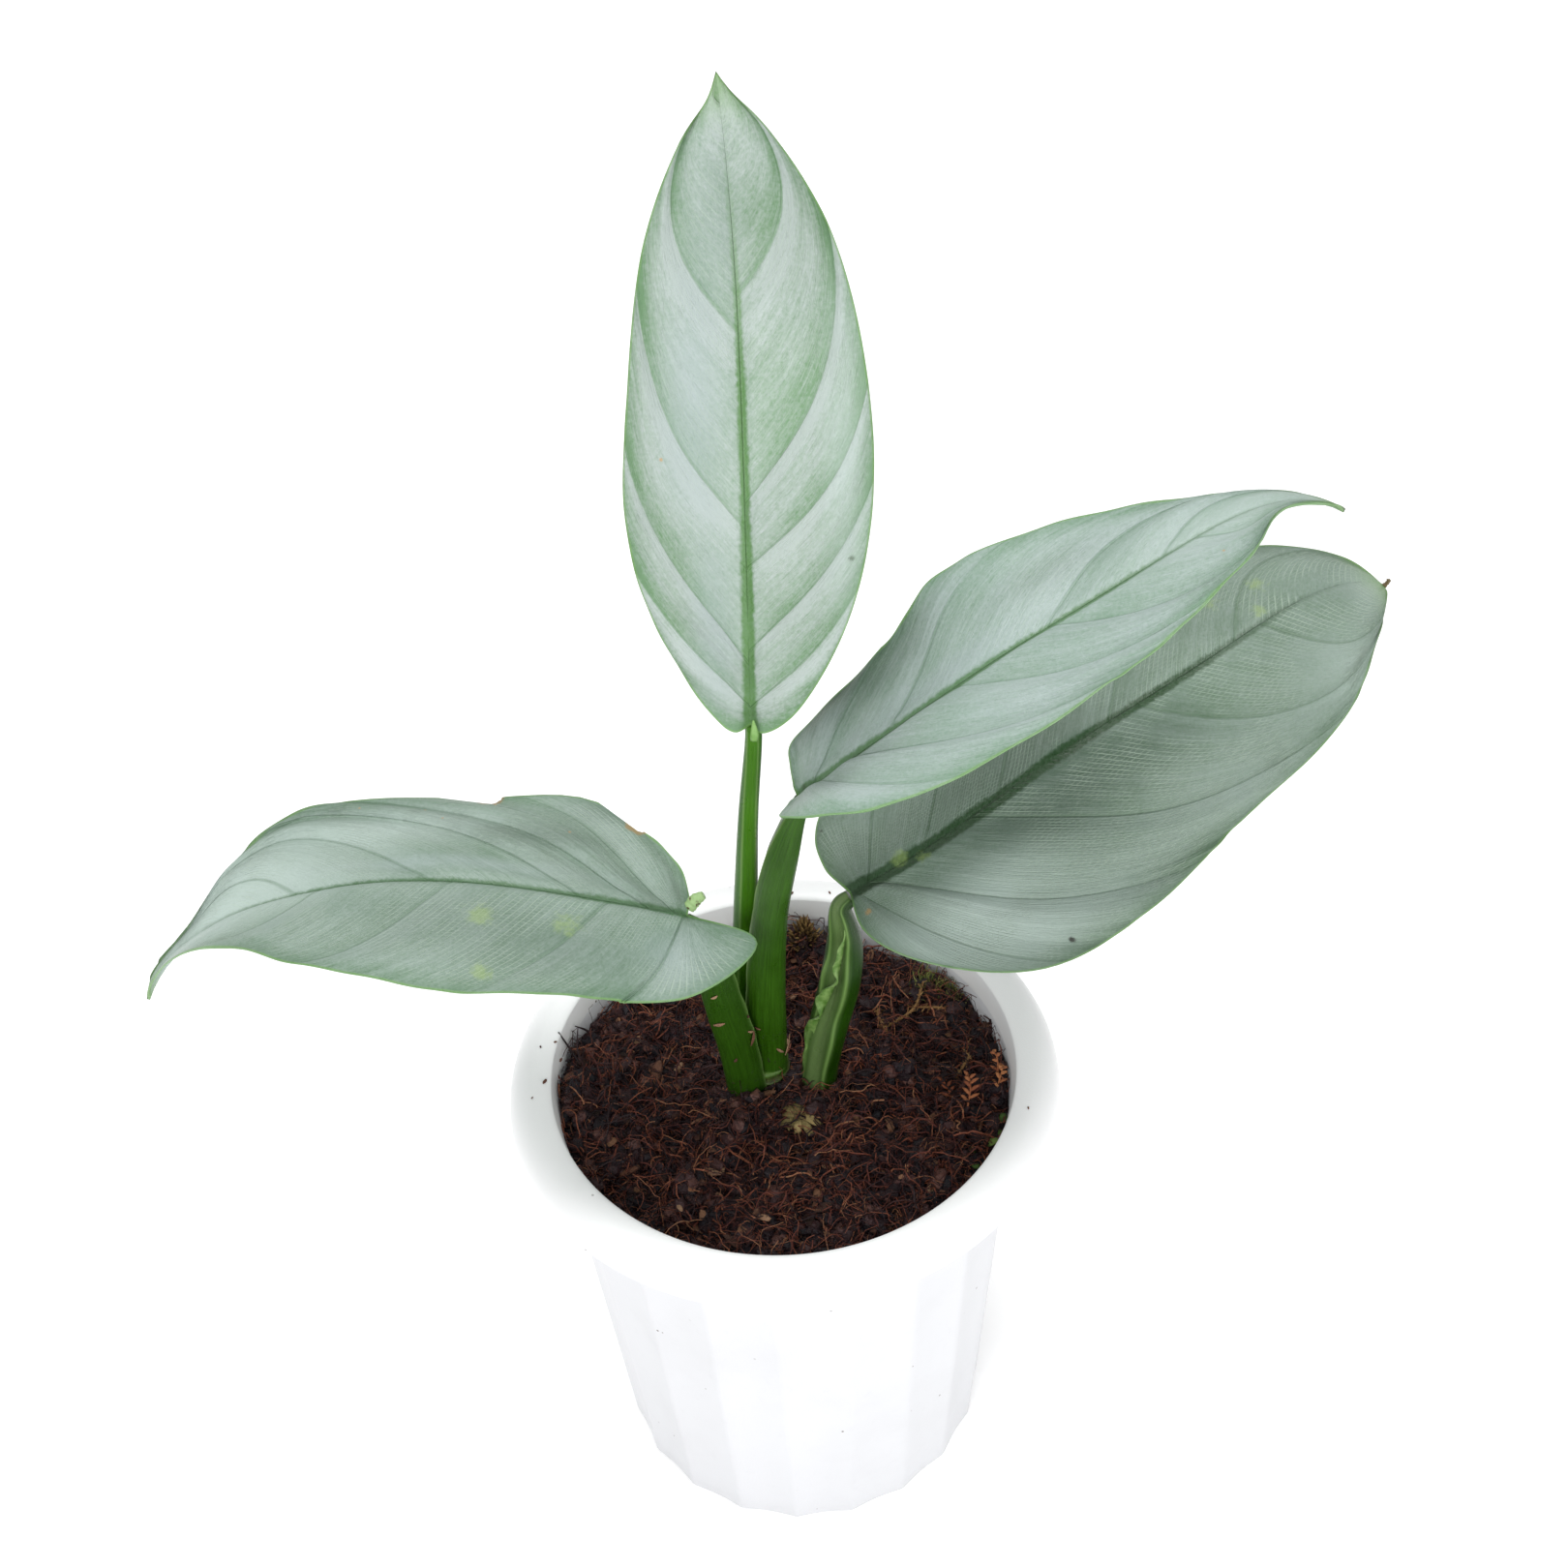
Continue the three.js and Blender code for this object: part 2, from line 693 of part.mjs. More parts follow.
// A closed sheet between two grids of points with the same rows, cut into triangles alike.
function sheetSolid(upper, lower, perRow) {
  const rows = upper.length / perRow;
  const shift = upper.length;
  const triangles = [];
  const quad = (a, b, c, d) => triangles.push(a, b, c, a, c, d);
  for (let i = 0; i < rows - 1; i += 1) {
    for (let k = 0; k < perRow - 1; k += 1) {
      const a = i * perRow + k;
      const [b, c, d] = [a + 1, a + perRow + 1, a + perRow];
      quad(a, b, c, d);
      triangles.push(shift + c, shift + b, shift + a, shift + d, shift + c, shift + a);
    }
    const start = i * perRow;
    const end = start + perRow - 1;
    quad(start + shift, start, start + perRow, start + perRow + shift);
    quad(end, end + shift, end + perRow + shift, end + perRow);
  }
  return closedSolid([...upper, ...lower], triangles);
}

function nickedBlade(blade) {
  const stations = midribOf(blade);
  let solid = bladeSolid(blade);
  for (const nick of blade.right.nicks ?? []) {
    const edge = marginOf(blade, blade.right)[Math.round(nick.along * bladeMesh.rows)];
    const { point, normal } = onBlade(blade, stations, edge.x, -edge.y, 0);
    const punch = new THREE.CylinderGeometry(nick.radius, nick.radius, 8, 8);
    const turn = new THREE.Quaternion().setFromUnitVectors(new THREE.Vector3(0, 1, 0), normal);
    punch.applyQuaternion(turn);
    punch.translate(point.x, point.y, point.z);
    solid = solid.subtract(solidFrom(punch));
  }
  return largestBody(solid);
}

// Finishes

const finishes = {
  pot: new THREE.MeshStandardMaterial({ color: 0xf0f2f4, roughness: 0.42, metalness: 0 }),
  soil: new THREE.MeshStandardMaterial({ color: 0x35231a, roughness: 0.95, metalness: 0 }),
  stem: new THREE.MeshStandardMaterial({ color: 0x4a7a2a, roughness: 0.5, metalness: 0 }),
  stalk: new THREE.MeshStandardMaterial({ color: 0x3f7d20, roughness: 0.4, metalness: 0 }),
  blade: new THREE.MeshStandardMaterial({ color: 0x8aa896, roughness: 0.45, metalness: 0 }),
};

function meshOf(name, solid, finish) {
  const { numProp, vertProperties, triVerts } = solid.getMesh();
  const geometry = new THREE.BufferGeometry();
  const corners = new Float32Array(vertProperties);
  geometry.setAttribute("position", new THREE.BufferAttribute(corners, numProp));
  geometry.setIndex(new THREE.BufferAttribute(new Uint32Array(triVerts), 1));
  geometry.computeVertexNormals();
  const mesh = new THREE.Mesh(geometry, finishes[finish].clone());
  mesh.name = name;
  return mesh;
}

// Assembly. Each stalk is cut clear of the stem and of the stalks in front of it, and the soil
// is cut clear of all that stands in it.

const plant = new THREE.Group();
plant.add(meshOf("pot", potSolid(), "pot"));

plant.add(meshOf("stem", stemSolid(), "stem"));

let soil = soilSolid().subtract(stemSolid(clearance));
const cutters = [stemCore(clearance)];
for (const name of ["left", "upper", "lower", "upright"]) {
  let stalk = stalkSolid(name);
  for (const cutter of cutters) stalk = stalk.subtract(cutter);
  plant.add(meshOf(`petiole_${name}`, largestBody(stalk), "stalk"));
  const grownStalk = stalkSolid(name, clearance);
  cutters.push(grownStalk);
  soil = soil.subtract(grownStalk);
}
plant.add(meshOf("soil", largestBody(soil), "soil"));

for (const name of ["upright", "upper", "lower", "left"]) {
  plant.add(meshOf(`leaf_${name}`, nickedBlade(blades[name]), "blade"));
}

export default plant;
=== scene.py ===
"""Looks of a potted Philodendron hastatum: silver-green arrow-shaped blades on sheathed green
stalks, in peaty soil with moss and bark, in a white fluted nursery pot.

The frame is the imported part: metres, +Z up, origin in the middle of the pot's underside.
Sizes below are in millimetres, as on the part, and MM turns them into metres.
"""
import math

import bmesh
import bpy
import numpy as np
from mathutils import Matrix, Vector, noise


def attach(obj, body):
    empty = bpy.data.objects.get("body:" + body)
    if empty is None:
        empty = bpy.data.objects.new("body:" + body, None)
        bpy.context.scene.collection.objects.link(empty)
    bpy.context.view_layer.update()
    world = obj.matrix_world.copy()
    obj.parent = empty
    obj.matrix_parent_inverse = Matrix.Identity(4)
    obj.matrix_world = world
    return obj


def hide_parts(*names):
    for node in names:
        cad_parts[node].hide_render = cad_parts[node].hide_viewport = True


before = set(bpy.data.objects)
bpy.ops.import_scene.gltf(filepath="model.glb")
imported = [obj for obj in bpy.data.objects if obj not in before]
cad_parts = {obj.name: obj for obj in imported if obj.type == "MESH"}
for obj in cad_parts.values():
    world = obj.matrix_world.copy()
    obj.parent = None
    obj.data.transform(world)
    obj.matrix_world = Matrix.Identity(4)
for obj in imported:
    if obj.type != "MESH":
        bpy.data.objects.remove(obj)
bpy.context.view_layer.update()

MM = 0.001
SEED = 7
rng = np.random.default_rng(SEED)

# Camera, as a plain 58 mm view of 36 mm film from above the front of the pot

CAMERA = {"place": (0, -452.39, 661.76), "azimuth": 0.65, "down": 42.68, "roll": 3.66,
          "lens": 58, "film": 36}

# The pot, as the part has it

POT = {"height": 142, "rim": 75, "rim_inner": 63, "rim_crest": 67, "lip_drop": 8, "lip_skin": 1.6,
       "lip_hollow": 3.8, "inner_edge_drop": 1.4, "body_top": 64.2, "foot": 53, "foot_chamfer": 1.2,
       "floor": 2.4, "wall": 1.3, "flutes": 20, "flute_depth": 1.2, "flute_azimuth": 12,
       "holes": 8, "hole_radius": 4, "hole_circle": 30}
LIP_FOOT = POT["height"] - POT["lip_drop"]

# The soil: its level, the banks against the wall, low lumps (height, x and y waves, phase), round
# mounds and heaps (x, y, height, spread), and the rough relief (waves per millimetre, height).
# The heaps and the relief are in the looks alone.

SOIL = {"level": 128.4, "wall_gap": 0.45, "left_rise": 6, "right_rise": 2, "bank_power": 6,
        "lumps": [(0.65, 0.21, 0.19, 0.7), (0.65, 0.21, -0.19, 1.9), (0.91, 0.43, -0.37, 2),
                  (0.65, 0.5, 0.61, 1.57)],
        "mounds": [(8, 55, 8, 5), (42, 33, 5, 8)],
        "heaps": [(-11, -4, 7, 10), (9, -2, 4, 7), (-52, 6, 2.5, 14), (30, 12, 2.5, 9),
                  (12, -30, 1.5, 8)],
        "relief": [(0.17, 2.9), (0.55, 1.8), (1.4, 0.5)]}

# How far out from the pot's middle the soil's loose bits may stand

REACH = {"open": 60.5, "litter": 61.6, "fibres": 61.4, "lobes": 60.8, "tuft": 59, "roots": 57,
         "root_tips": 60}
STALK_FEET = [(-11.2, 13.9, 3), (-4.8, 6.6, 5.4), (8.8, 3, 4.3), (-9.4, 1, 5)]

STEM = {"centre": (-5, 7), "radius": 6.2, "bottom": 78, "top": 137.5, "scar_height": 1.6,
        "scar_bulge": 0.7}


# Blades, as the part has them


def half(outline, fold, curl, veins, nicks=()):
    """Half a blade: its outline from the sinus to the tip, its fold and curl, its side veins as
    (foot on the midrib, end on the margin), shares of the length, and its nicks as (share of the
    margin, radius)."""
    return {"outline": outline, "fold": fold, "curl": curl, "veins": veins, "nicks": nicks}


CURL_REACH = 35
BLADES = {
    "upright": {
        "base": (-1.9, 2.6, 262), "length": 153, "azimuth": (81, 86, 95), "pitch": (73, 66, 55, 45),
        "roll": (-4, -1, 0), "rib": 2.6, "panel": 1.1, "wave": (0.8, 3.5, 0.4),
        "left": half([(-1.5, 4), (3.5, 10), (25, 22), (52, 28), (83, 26), (115, 20.5), (137, 10.5),
                      (147.5, 2.5)], (6, 8, 4), (-11, -8, -6),
                     [(0.03, 0.26), (0.10, 0.46), (0.32, 0.70), (0.615, 0.93)]),
        "right": half([(-1.5, 3), (3, 10), (24, 22.5), (51, 29.5), (84, 29), (116, 22), (137.5, 11),
                       (148, 2.8)], (9, 8, 5), (-11, -8, -6),
                      [(0.03, 0.24), (0.123, 0.40), (0.258, 0.54), (0.36, 0.77), (0.67, 0.985)]),
    },
    "upper": {
        "base": (8.1, 3.8, 236.7), "length": 161, "azimuth": (5, 15, 22),
        "pitch": (36, 32, 23, 16, -43), "roll": (-7, -5, -12), "rib": 2.4, "panel": 1.25,
        "wave": (0.8, 3, 1.1),
        "left": half([(0, 11.5), (2, 18.5), (40, 26), (55, 33.5), (88, 29), (119, 18.5), (146, 6),
                      (156, 2)], (4, 0, -9), (16, 22, -2),
                     [(0.03, 0.22), (0.17, 0.49), (0.46, 0.86), (0.66, 0.95)]),
        "right": half([(-3, 10), (6, 19), (26, 29), (58, 31.5), (87, 27), (122, 18), (136, 5),
                       (156, 1.6)], (22, 10, 10), (-26, -28, -24),
                      [(0.04, 0.26), (0.10, 0.50), (0.30, 0.68), (0.47, 0.83), (0.72, 0.95)]),
    },
    "lower": {
        "base": (20.2, 4.7, 200.7), "length": 179.5, "azimuth": (20, 27, 32.5),
        "pitch": (13, 22, 11, 8.5, -40), "roll": (9, 18, 19), "rib": 2.6, "panel": 1.15,
        "wave": (0.7, 3, 2.2),
        "left": half([(-2, 12.5), (2, 25.5), (27, 40), (63, 43), (99, 38.5), (133, 29.5), (160, 15),
                      (175, 4.5)], (-7, -12, -4), (-8, -17, -20),
                     [(0.03, 0.22), (0.12, 0.45), (0.25, 0.62), (0.45, 0.80), (0.68, 0.93)]),
        "right": half([(-2, 12.5), (5, 26.5), (29, 43.5), (63, 46), (99, 40.5), (138, 31.5),
                       (163, 16), (175, 4.5)], (1, -12, 1), (-1, -22, -8),
                      [(0.005, 0.20), (0.03, 0.47), (0.21, 0.78), (0.50, 0.92), (0.73, 0.97)]),
    },
    "left": {
        "base": (-21.2, -4.4, 206.3), "length": 166, "azimuth": (177, 170, 180),
        "pitch": (18, 9, -12, -30, -67), "roll": (4, 11, 5), "rib": 2.4, "panel": 1.1,
        "wave": (0.7, 3, 0.2),
        "left": half([(-18, 5), (-3, 24), (36, 32.5), (60, 36), (93, 30), (117, 17.5), (149, 5.5),
                      (161, 2)], (-6, 6, 16), (-24, -28, -10),
                     [(0.005, 0.08), (0.122, 0.30), (0.364, 0.56), (0.58, 0.78), (0.78, 0.92)]),
        "right": half([(0, 7), (5, 18), (28, 35), (58, 34.5), (108, 29.5), (124, 18), (138, 4),
                       (161, 2.2)], (4, 6, 34), (10, 3, 24),
                      [(0.02, 0.30), (0.06, 0.58), (0.165, 0.72), (0.395, 0.90), (0.62, 0.96)],
                      [(0.395, 3.1), (0.17, 2.3)]),
    },
}

# What each blade's colour does: the silver bloom and the green under it, both partly painted
# light, how strong the painted shade and sheen across the panels between the veins are, how
# dark the midrib is, how clear the fine net is, zones of painted sheen (pale, blue), painted
# shade (dark) and fresher green (fresh) as (along, aside, reach along, reach aside, share,
# tone), and its marks as (kind, along, aside, radius), in millimetres on the flat blade.

# Each blade's silver and green is partly its own tone, older blades being darker, and partly painted
# light: lighter on the upright blade that faces the key light, darker on the low flat blades
BLADE_LOOKS = {
    "upright": {
        "silver": (0.43, 0.5, 0.47), "green": (0.14, 0.27, 0.135), "panels": 1.02,
        "midrib": (0.085, 0.215, 0.05), "midrib_half": 1.75, "net": 0.9, "fine_veins": 20,
        "zones": [(78, 11, 46, 12, 0.62, "blue"), (118, 5, 30, 10, 0.35, "blue"),
                  (120, 0, 40, 22, 0.2, "dark"), (110, -16, 30, 12, 0.12, "dark"),
                  (26, 8, 34, 9, 0.5, "blue"), (62, -24, 60, 8, 0.4, "pale"),
                  (8, 0, 20, 2.6, 0.3, "fresh")],
        "marks": [("dark", 43, -25, 1.1), ("amber", 66, 19, 0.42)]},
    "upper": {
        "silver": (0.37, 0.455, 0.43), "green": (0.16, 0.28, 0.18), "panels": 0.48,
        "midrib": (0.075, 0.18, 0.06), "midrib_half": 1.8, "net": 0.6, "fine_veins": 20,
        "zones": [(18, 26, 46, 20, 1.0, "dark"), (48, 5, 42, 8, 0.45, "blue"),
                  (82, 16, 30, 9, 0.25, "dark"), (126, 3, 40, 14, 0.45, "pale"),
                  (60, -20, 60, 12, 0.2, "blue")],
        "marks": [("dark", 2.5, 1, 1.3), ("amber", 118, -12, 0.4)]},
    "lower": {
        "silver": (0.2, 0.265, 0.222), "green": (0.08, 0.15, 0.08), "panels": 0.34,
        "midrib": (0.003, 0.035, 0.0), "midrib_half": 2.5, "net": 1.5, "fine_veins": 25,
        "zones": [(150, -24, 34, 20, 0.34, "pale"), (168, -4, 16, 14, 0.3, "pale"),
                  (58, -9, 60, 16, 0.6, "dark"), (22, -24, 38, 19, 0.75, "pale"),
                  (40, -36, 40, 12, 0.4, "pale"), (95, -32, 50, 14, 0.2, "pale"),
                  (150, 14, 24, 18, 0.15, "pale"), (48, 9, 58, 18, 0.55, "dark")],
        "marks": [("yellow", 15.8, 1.5, 2.8), ("yellow", 21, -1.5, 2), ("yellow", 138.6, 11.8, 3),
                  ("yellow", 133, 3.7, 2.4), ("yellow", 125, 13, 2.4), ("amber", 1.5, -8.2, 1),
                  ("black", 2.5, 23, 0.8), ("black", 39, -41, 0.9), ("green", 9, -33, 3)]},
    "left": {
        "silver": (0.27, 0.35, 0.305), "green": (0.115, 0.205, 0.125), "panels": 0.4,
        "midrib": (0.055, 0.14, 0.05), "midrib_half": 1.2, "net": 1.4, "fine_veins": 24,
        "zones": [(122, -6, 56, 24, 0.75, "pale"), (140, 6, 34, 14, 0.6, "pale"),
                  (80, -21, 44, 10, 0.6, "pale"), (42, -20, 34, 7, 0.42, "dark"),
                  (45, 18, 60, 20, 0.34, "dark"), (60, -7, 50, 4, 0.3, "blue"),
                  (2, 14, 14, 12, 0.35, "blue"), (24, -30, 24, 8, 0.3, "dark")],
        "marks": [("yellow", 50.3, 12.1, 4.5), ("yellow", 47.6, 28.7, 3), ("yellow", 30, 10.7, 4),
                  ("amber", 55, -31, 0.7), ("amber", 74, -28, 0.5), ("amber", 68, -24, 0.4),
                  ("amber", 33, -22, 0.5), ("amber", 92, -29, 0.4)]},
}

# Stalks, as the part has them: path, width, depth, where the groove looks, and its depth. Their
# greens are for the deep streaks, the fresh streaks, and the inside of the sheath.

STALKS = {
    "upright": {
        "path": [(-11.4, 14.2, 124), (-9.9, 12.6, 150), (-7.2, 9.8, 187), (-4.2, 7.4, 228)],
        "width": (7.6, 7, 6.4, 5.1, 4), "depth": (6.6, 6.2, 5.6, 4.9, 4), "facing": -75,
        "groove": (0.1, 0.15, 0.2, 0.25, 0.2), "ruffle": 0, "seat": -0.3,
        "greens": ((0.02, 0.1, 0.0), (0.05, 0.19, 0.001), (0.06, 0.2, 0.004))},
    "upper": {
        "path": [(-4.8, 6.6, 132), (-4.2, 6, 150), (-3.3, 5.5, 170), (-0.6, 4.8, 198), (3, 4.3, 216)],
        "width": (9, 8.8, 8.4, 7.6, 7, 5), "depth": (12.2, 12, 11.2, 10.3, 9.6, 4.6), "facing": 160,
        "groove": (0.2, 0.25, 0.3, 0.35, 0.4, 0.1), "ruffle": 0, "seat": -0.4,
        "greens": ((0.013, 0.05, 0.0), (0.045, 0.14, 0.008), (0.07, 0.18, 0.016))},
    "lower": {
        "path": [(8.8, 3, 118), (10.1, 3, 136), (13.2, 3.5, 153), (16.8, 4, 169), (18.4, 4.3, 184)],
        "width": (9.6, 10, 10.6, 11, 9.6, 4.4), "depth": (9.6, 10, 10.4, 10.4, 8.6, 4.4),
        "facing": 235, "groove": (0.1, 0.2, 0.5, 0.62, 0.6, 0.1), "ruffle": 0.12, "seat": -0.1,
        "greens": ((0.005, 0.026, 0.0), (0.016, 0.065, 0.001), (0.15, 0.24, 0.08))},
    "left": {
        "path": [(-9.4, 1, 124), (-11.4, 0.6, 150), (-14.3, -1, 171), (-16.6, -2.2, 188)],
        "width": (9, 8.6, 8, 7, 4.6), "depth": (11.4, 11.6, 11.7, 10, 4.6), "facing": 25,
        "groove": (0.2, 0.3, 0.35, 0.4, 0.1), "ruffle": 0, "seat": 0.15,
        "greens": ((0.012, 0.045, 0.001), (0.035, 0.11, 0.006), (0.05, 0.13, 0.015))},
}


# Small maths


def along(values, share):
    """The smooth value at a share, or an array of shares, of values in equal steps."""
    values = np.asarray(values, float)
    last = len(values) - 1
    place = np.clip(np.asarray(share, float), 0, 1) * last
    i = np.minimum(place.astype(int), last - 1)
    t = place - i
    padded = np.concatenate(([2 * values[0] - values[1]], values,
                             [2 * values[last] - values[last - 1]]))
    before, a, b, after = (padded[i + k] for k in range(4))
    return 0.5 * (2 * a + (b - before) * t + (2 * before - 5 * a + 4 * b - after) * t ** 2
                  + (3 * a - before - 3 * b + after) * t ** 3)


def smooth_line(points, count, fine=2000):
    """Points in equal steps of length on a centripetal curve through the given ones."""
    points = np.asarray(points, float)
    padded = np.vstack((2 * points[0] - points[1], points, 2 * points[-1] - points[-2]))
    place = np.linspace(0, len(points) - 1, fine)
    i = np.minimum(place.astype(int), len(points) - 2)
    w = (place - i)[:, None]
    p0, p1, p2, p3 = (padded[i + k] for k in range(4))
    step = [np.maximum(np.linalg.norm(q - p, axis=1), 1e-6)[:, None] ** 0.5
            for p, q in ((p0, p1), (p1, p2), (p2, p3))]
    enter = ((p1 - p0) / step[0] - (p2 - p0) / (step[0] + step[1]) + (p2 - p1) / step[1]) * step[1]
    leave = ((p2 - p1) / step[1] - (p3 - p1) / (step[1] + step[2]) + (p3 - p2) / step[2]) * step[1]
    line = (p1 + enter * w + (3 * (p2 - p1) - 2 * enter - leave) * w ** 2
            + (2 * (p1 - p2) + enter + leave) * w ** 3)
    run = np.concatenate(([0], np.cumsum(np.linalg.norm(np.diff(line, axis=0), axis=1))))
    at = np.linspace(0, run[-1], count)
    return np.stack([np.interp(at, run, line[:, k]) for k in range(line.shape[1])], 1)


def bell(x):
    return np.exp(-np.square(x))


def smoothstep(low, high, x):
    t = np.clip((x - low) / (high - low), 0, 1)
    return t * t * (3 - 2 * t)


def unit(vectors):
    return vectors / np.maximum(np.linalg.norm(vectors, axis=-1, keepdims=True), 1e-12)


def compass(degrees):
    return np.array([math.cos(math.radians(degrees)), math.sin(math.radians(degrees)), 0])


def around(count):
    """Angles in equal steps round a circle."""
    return np.arange(count) * 2 * np.pi / count


def arc_between(a, b, lift=(0, 0, 0)):
    """A path from one point to another with its middle lifted."""
    return [a, (a + b) / 2 + lift, b]


def grid_faces(rows, columns, start=0, closed=False):
    """Quads of a grid of points, with its columns joined round if closed."""
    r, c = np.meshgrid(np.arange(rows - 1), np.arange(columns if closed else columns - 1),
                       indexing="ij")
    a = r * columns + c
    b = r * columns + (c + 1) % columns
    return (np.stack([a, b, b + columns, a + columns], -1).reshape(-1, 4) + start).tolist()


# Meshes

MERGE = 1e-6


def new_object(name, data):
    item = bpy.data.objects.new(name, data)
    bpy.context.scene.collection.objects.link(item)
    return item


def base_mesh(name, points, edges=(), faces=()):
    mesh = bpy.data.meshes.new(name)
    mesh.from_pydata((np.asarray(points, float).reshape(-1, 3) * MM).tolist(), edges, faces)
    return mesh


def piece_from(name, points, faces, finish, attributes=None):
    """A smooth mesh piece from points in millimetres, with doubles merged and faces outwards."""
    mesh = base_mesh(name, points, faces=faces)
    for key, values in (attributes or {}).items():
        values = np.asarray(values, np.float32)
        kind, field = ("FLOAT", "value") if values.ndim == 1 else ("FLOAT_VECTOR", "vector")
        mesh.attributes.new(key, kind, "POINT").data.foreach_set(field, values.ravel())
    shape = bmesh.new()
    shape.from_mesh(mesh)
    bmesh.ops.remove_doubles(shape, verts=shape.verts, dist=MERGE)
    bmesh.ops.dissolve_degenerate(shape, dist=MERGE, edges=shape.edges)
    bmesh.ops.recalc_face_normals(shape, faces=shape.faces)
    shape.to_mesh(mesh)
    shape.free()
    mesh.shade_smooth()
    mesh.materials.append(finish)
    return new_object(name, mesh)


def settle(piece, slot, *nodes):
    """The piece rides with the part and stands for the nodes it replaces; its slot is not used."""
    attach(piece, "root")
    if nodes:
        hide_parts(*nodes)


# Node trees


def operator(operation, reflected=False):
    """A Python operator on sockets, as a Math node."""
    def method(self, other):
        pair = (other, self) if reflected else (self, other)
        return self.node("ShaderNodeMath", dict(enumerate(pair)), operation=operation)
    return method


class Wire:
    """A socket of a node tree. Arithmetic on it adds Math nodes."""

    def __init__(self, tree, socket=None):
        self.tree, self.socket = tree, socket

    __add__ = __radd__ = operator("ADD")
    __mul__ = __rmul__ = operator("MULTIPLY")
    __sub__, __rsub__ = operator("SUBTRACT"), operator("SUBTRACT", reflected=True)
    __truediv__, __rtruediv__ = operator("DIVIDE"), operator("DIVIDE", reflected=True)
    __pow__ = operator("POWER")

    def node(self, kind, inputs=None, output=0, **settings):
        """Any node: its settings first, then the values or links of its sockets."""
        node = self.tree.nodes.new(kind)
        for name, value in settings.items():
            if name == "stops":
                lay_stops(node.color_ramp, value)
            else:
                setattr(node, name, value)
        for key, value in (inputs or {}).items():
            self.plug(node.inputs[key], value)
        return Wire(self.tree, node.outputs[output])

    def plug(self, socket, value):
        """A link or a constant. Colours are given without their alpha."""
        if isinstance(value, Wire):
            self.tree.links.new(value.socket, socket)
        else:
            socket.default_value = (*value, 1) if socket.type == "RGBA" else value

    def math(self, operation, *others):
        return self.node("ShaderNodeMath", dict(enumerate((self, *others))), operation=operation)

    def vector(self, operation, *others, output=0):
        return self.node("ShaderNodeVectorMath", dict(enumerate((self, *others))), output,
                         operation=operation)

    def scaled(self, scale):
        return self.node("ShaderNodeVectorMath", {0: self, "Scale": scale}, operation="SCALE")

    def axes(self):
        split = self.node("ShaderNodeSeparateXYZ", {0: self}).socket.node
        return [Wire(self.tree, socket) for socket in split.outputs]

    def join(self, x, y, z=0):
        return self.node("ShaderNodeCombineXYZ", {0: x, 1: y, 2: z})

    def within(self, low, high):
        return self.math("MAXIMUM", low).math("MINIMUM", high)

    def swing(self, gain):
        """How far it is from a half, times the gain."""
        return (self - 0.5) * gain

    def saw(self):
        """How far its fraction is from a half."""
        return (self.math("FRACT") - 0.5).math("ABSOLUTE")

    def step(self, low, high):
        """0 below low and 1 above high, or the other way round, smooth between."""
        return self.node("ShaderNodeMapRange", {0: self, 1: low, 2: high},
                         interpolation_type="SMOOTHSTEP")

    def spread(self, low, high):
        """From low, where it is 0, to high, where it is 1."""
        return self.node("ShaderNodeMapRange", {0: self, 3: low, 4: high})

    def mix(self, low, high):
        """A colour from low to high by this share."""
        return self.node("ShaderNodeMix", {0: self, 6: low, 7: high}, 2, data_type="RGBA")

    def ramp(self, stops):
        return self.node("ShaderNodeValToRGB", {0: self}, stops=stops)


def lay_stops(ramp, stops):
    """The ramp's stops, each as (place, red, green, blue)."""
    while len(ramp.elements) > 1:
        ramp.elements.remove(ramp.elements[-1])
    for i, (place, *colour) in enumerate(stops):
        stop = ramp.elements[0] if i == 0 else ramp.elements.new(place)
        stop.position = place
        stop.color = (*colour, 1)


class Finish(Wire):
    """A material whose surface is one Principled shader."""

    def __init__(self, name, **constants):
        self.material = bpy.data.materials.new(name)
        self.material.use_nodes = True
        super().__init__(self.material.node_tree)
        self.shader = self.tree.nodes["Principled BSDF"]
        self.wear(**constants)

    def wear(self, **inputs):
        for key, value in inputs.items():
            self.plug(self.shader.inputs[key.replace("_", " ")], value)
        return self.material

    @property
    def place(self):
        return self.node("ShaderNodeTexCoord", output="Object")

    def attribute(self, name, output="Fac"):
        return self.node("ShaderNodeAttribute", output=output, attribute_name=name)

    def noise(self, scale, detail=3, roughness=0.5, place=None):
        """Noise over the object's own coordinates, or over another place."""
        return self.node("ShaderNodeTexNoise", {"Vector": place or self.place, "Scale": scale,
                                                "Detail": detail, "Roughness": roughness})

    def bump(self, height, distance):
        return self.node("ShaderNodeBump", {"Height": height, "Distance": distance})


def mottled(name, rough, low, high, scale, detail=3, edges=None):
    """A finish of two colours, by noise, or by noise taken between two edges."""
    finish = Finish(name, Roughness=rough)
    share = finish.noise(scale, detail)
    if edges:
        share = share.step(*edges)
    return finish.wear(Base_Color=share.mix(low, high))


# Leaf finish: marks as (colour, share, softness of the edge), and tones of the zones: painted sheen
# (pale, blue), painted shade (dark) and a fresher green of the blade's own (fresh)

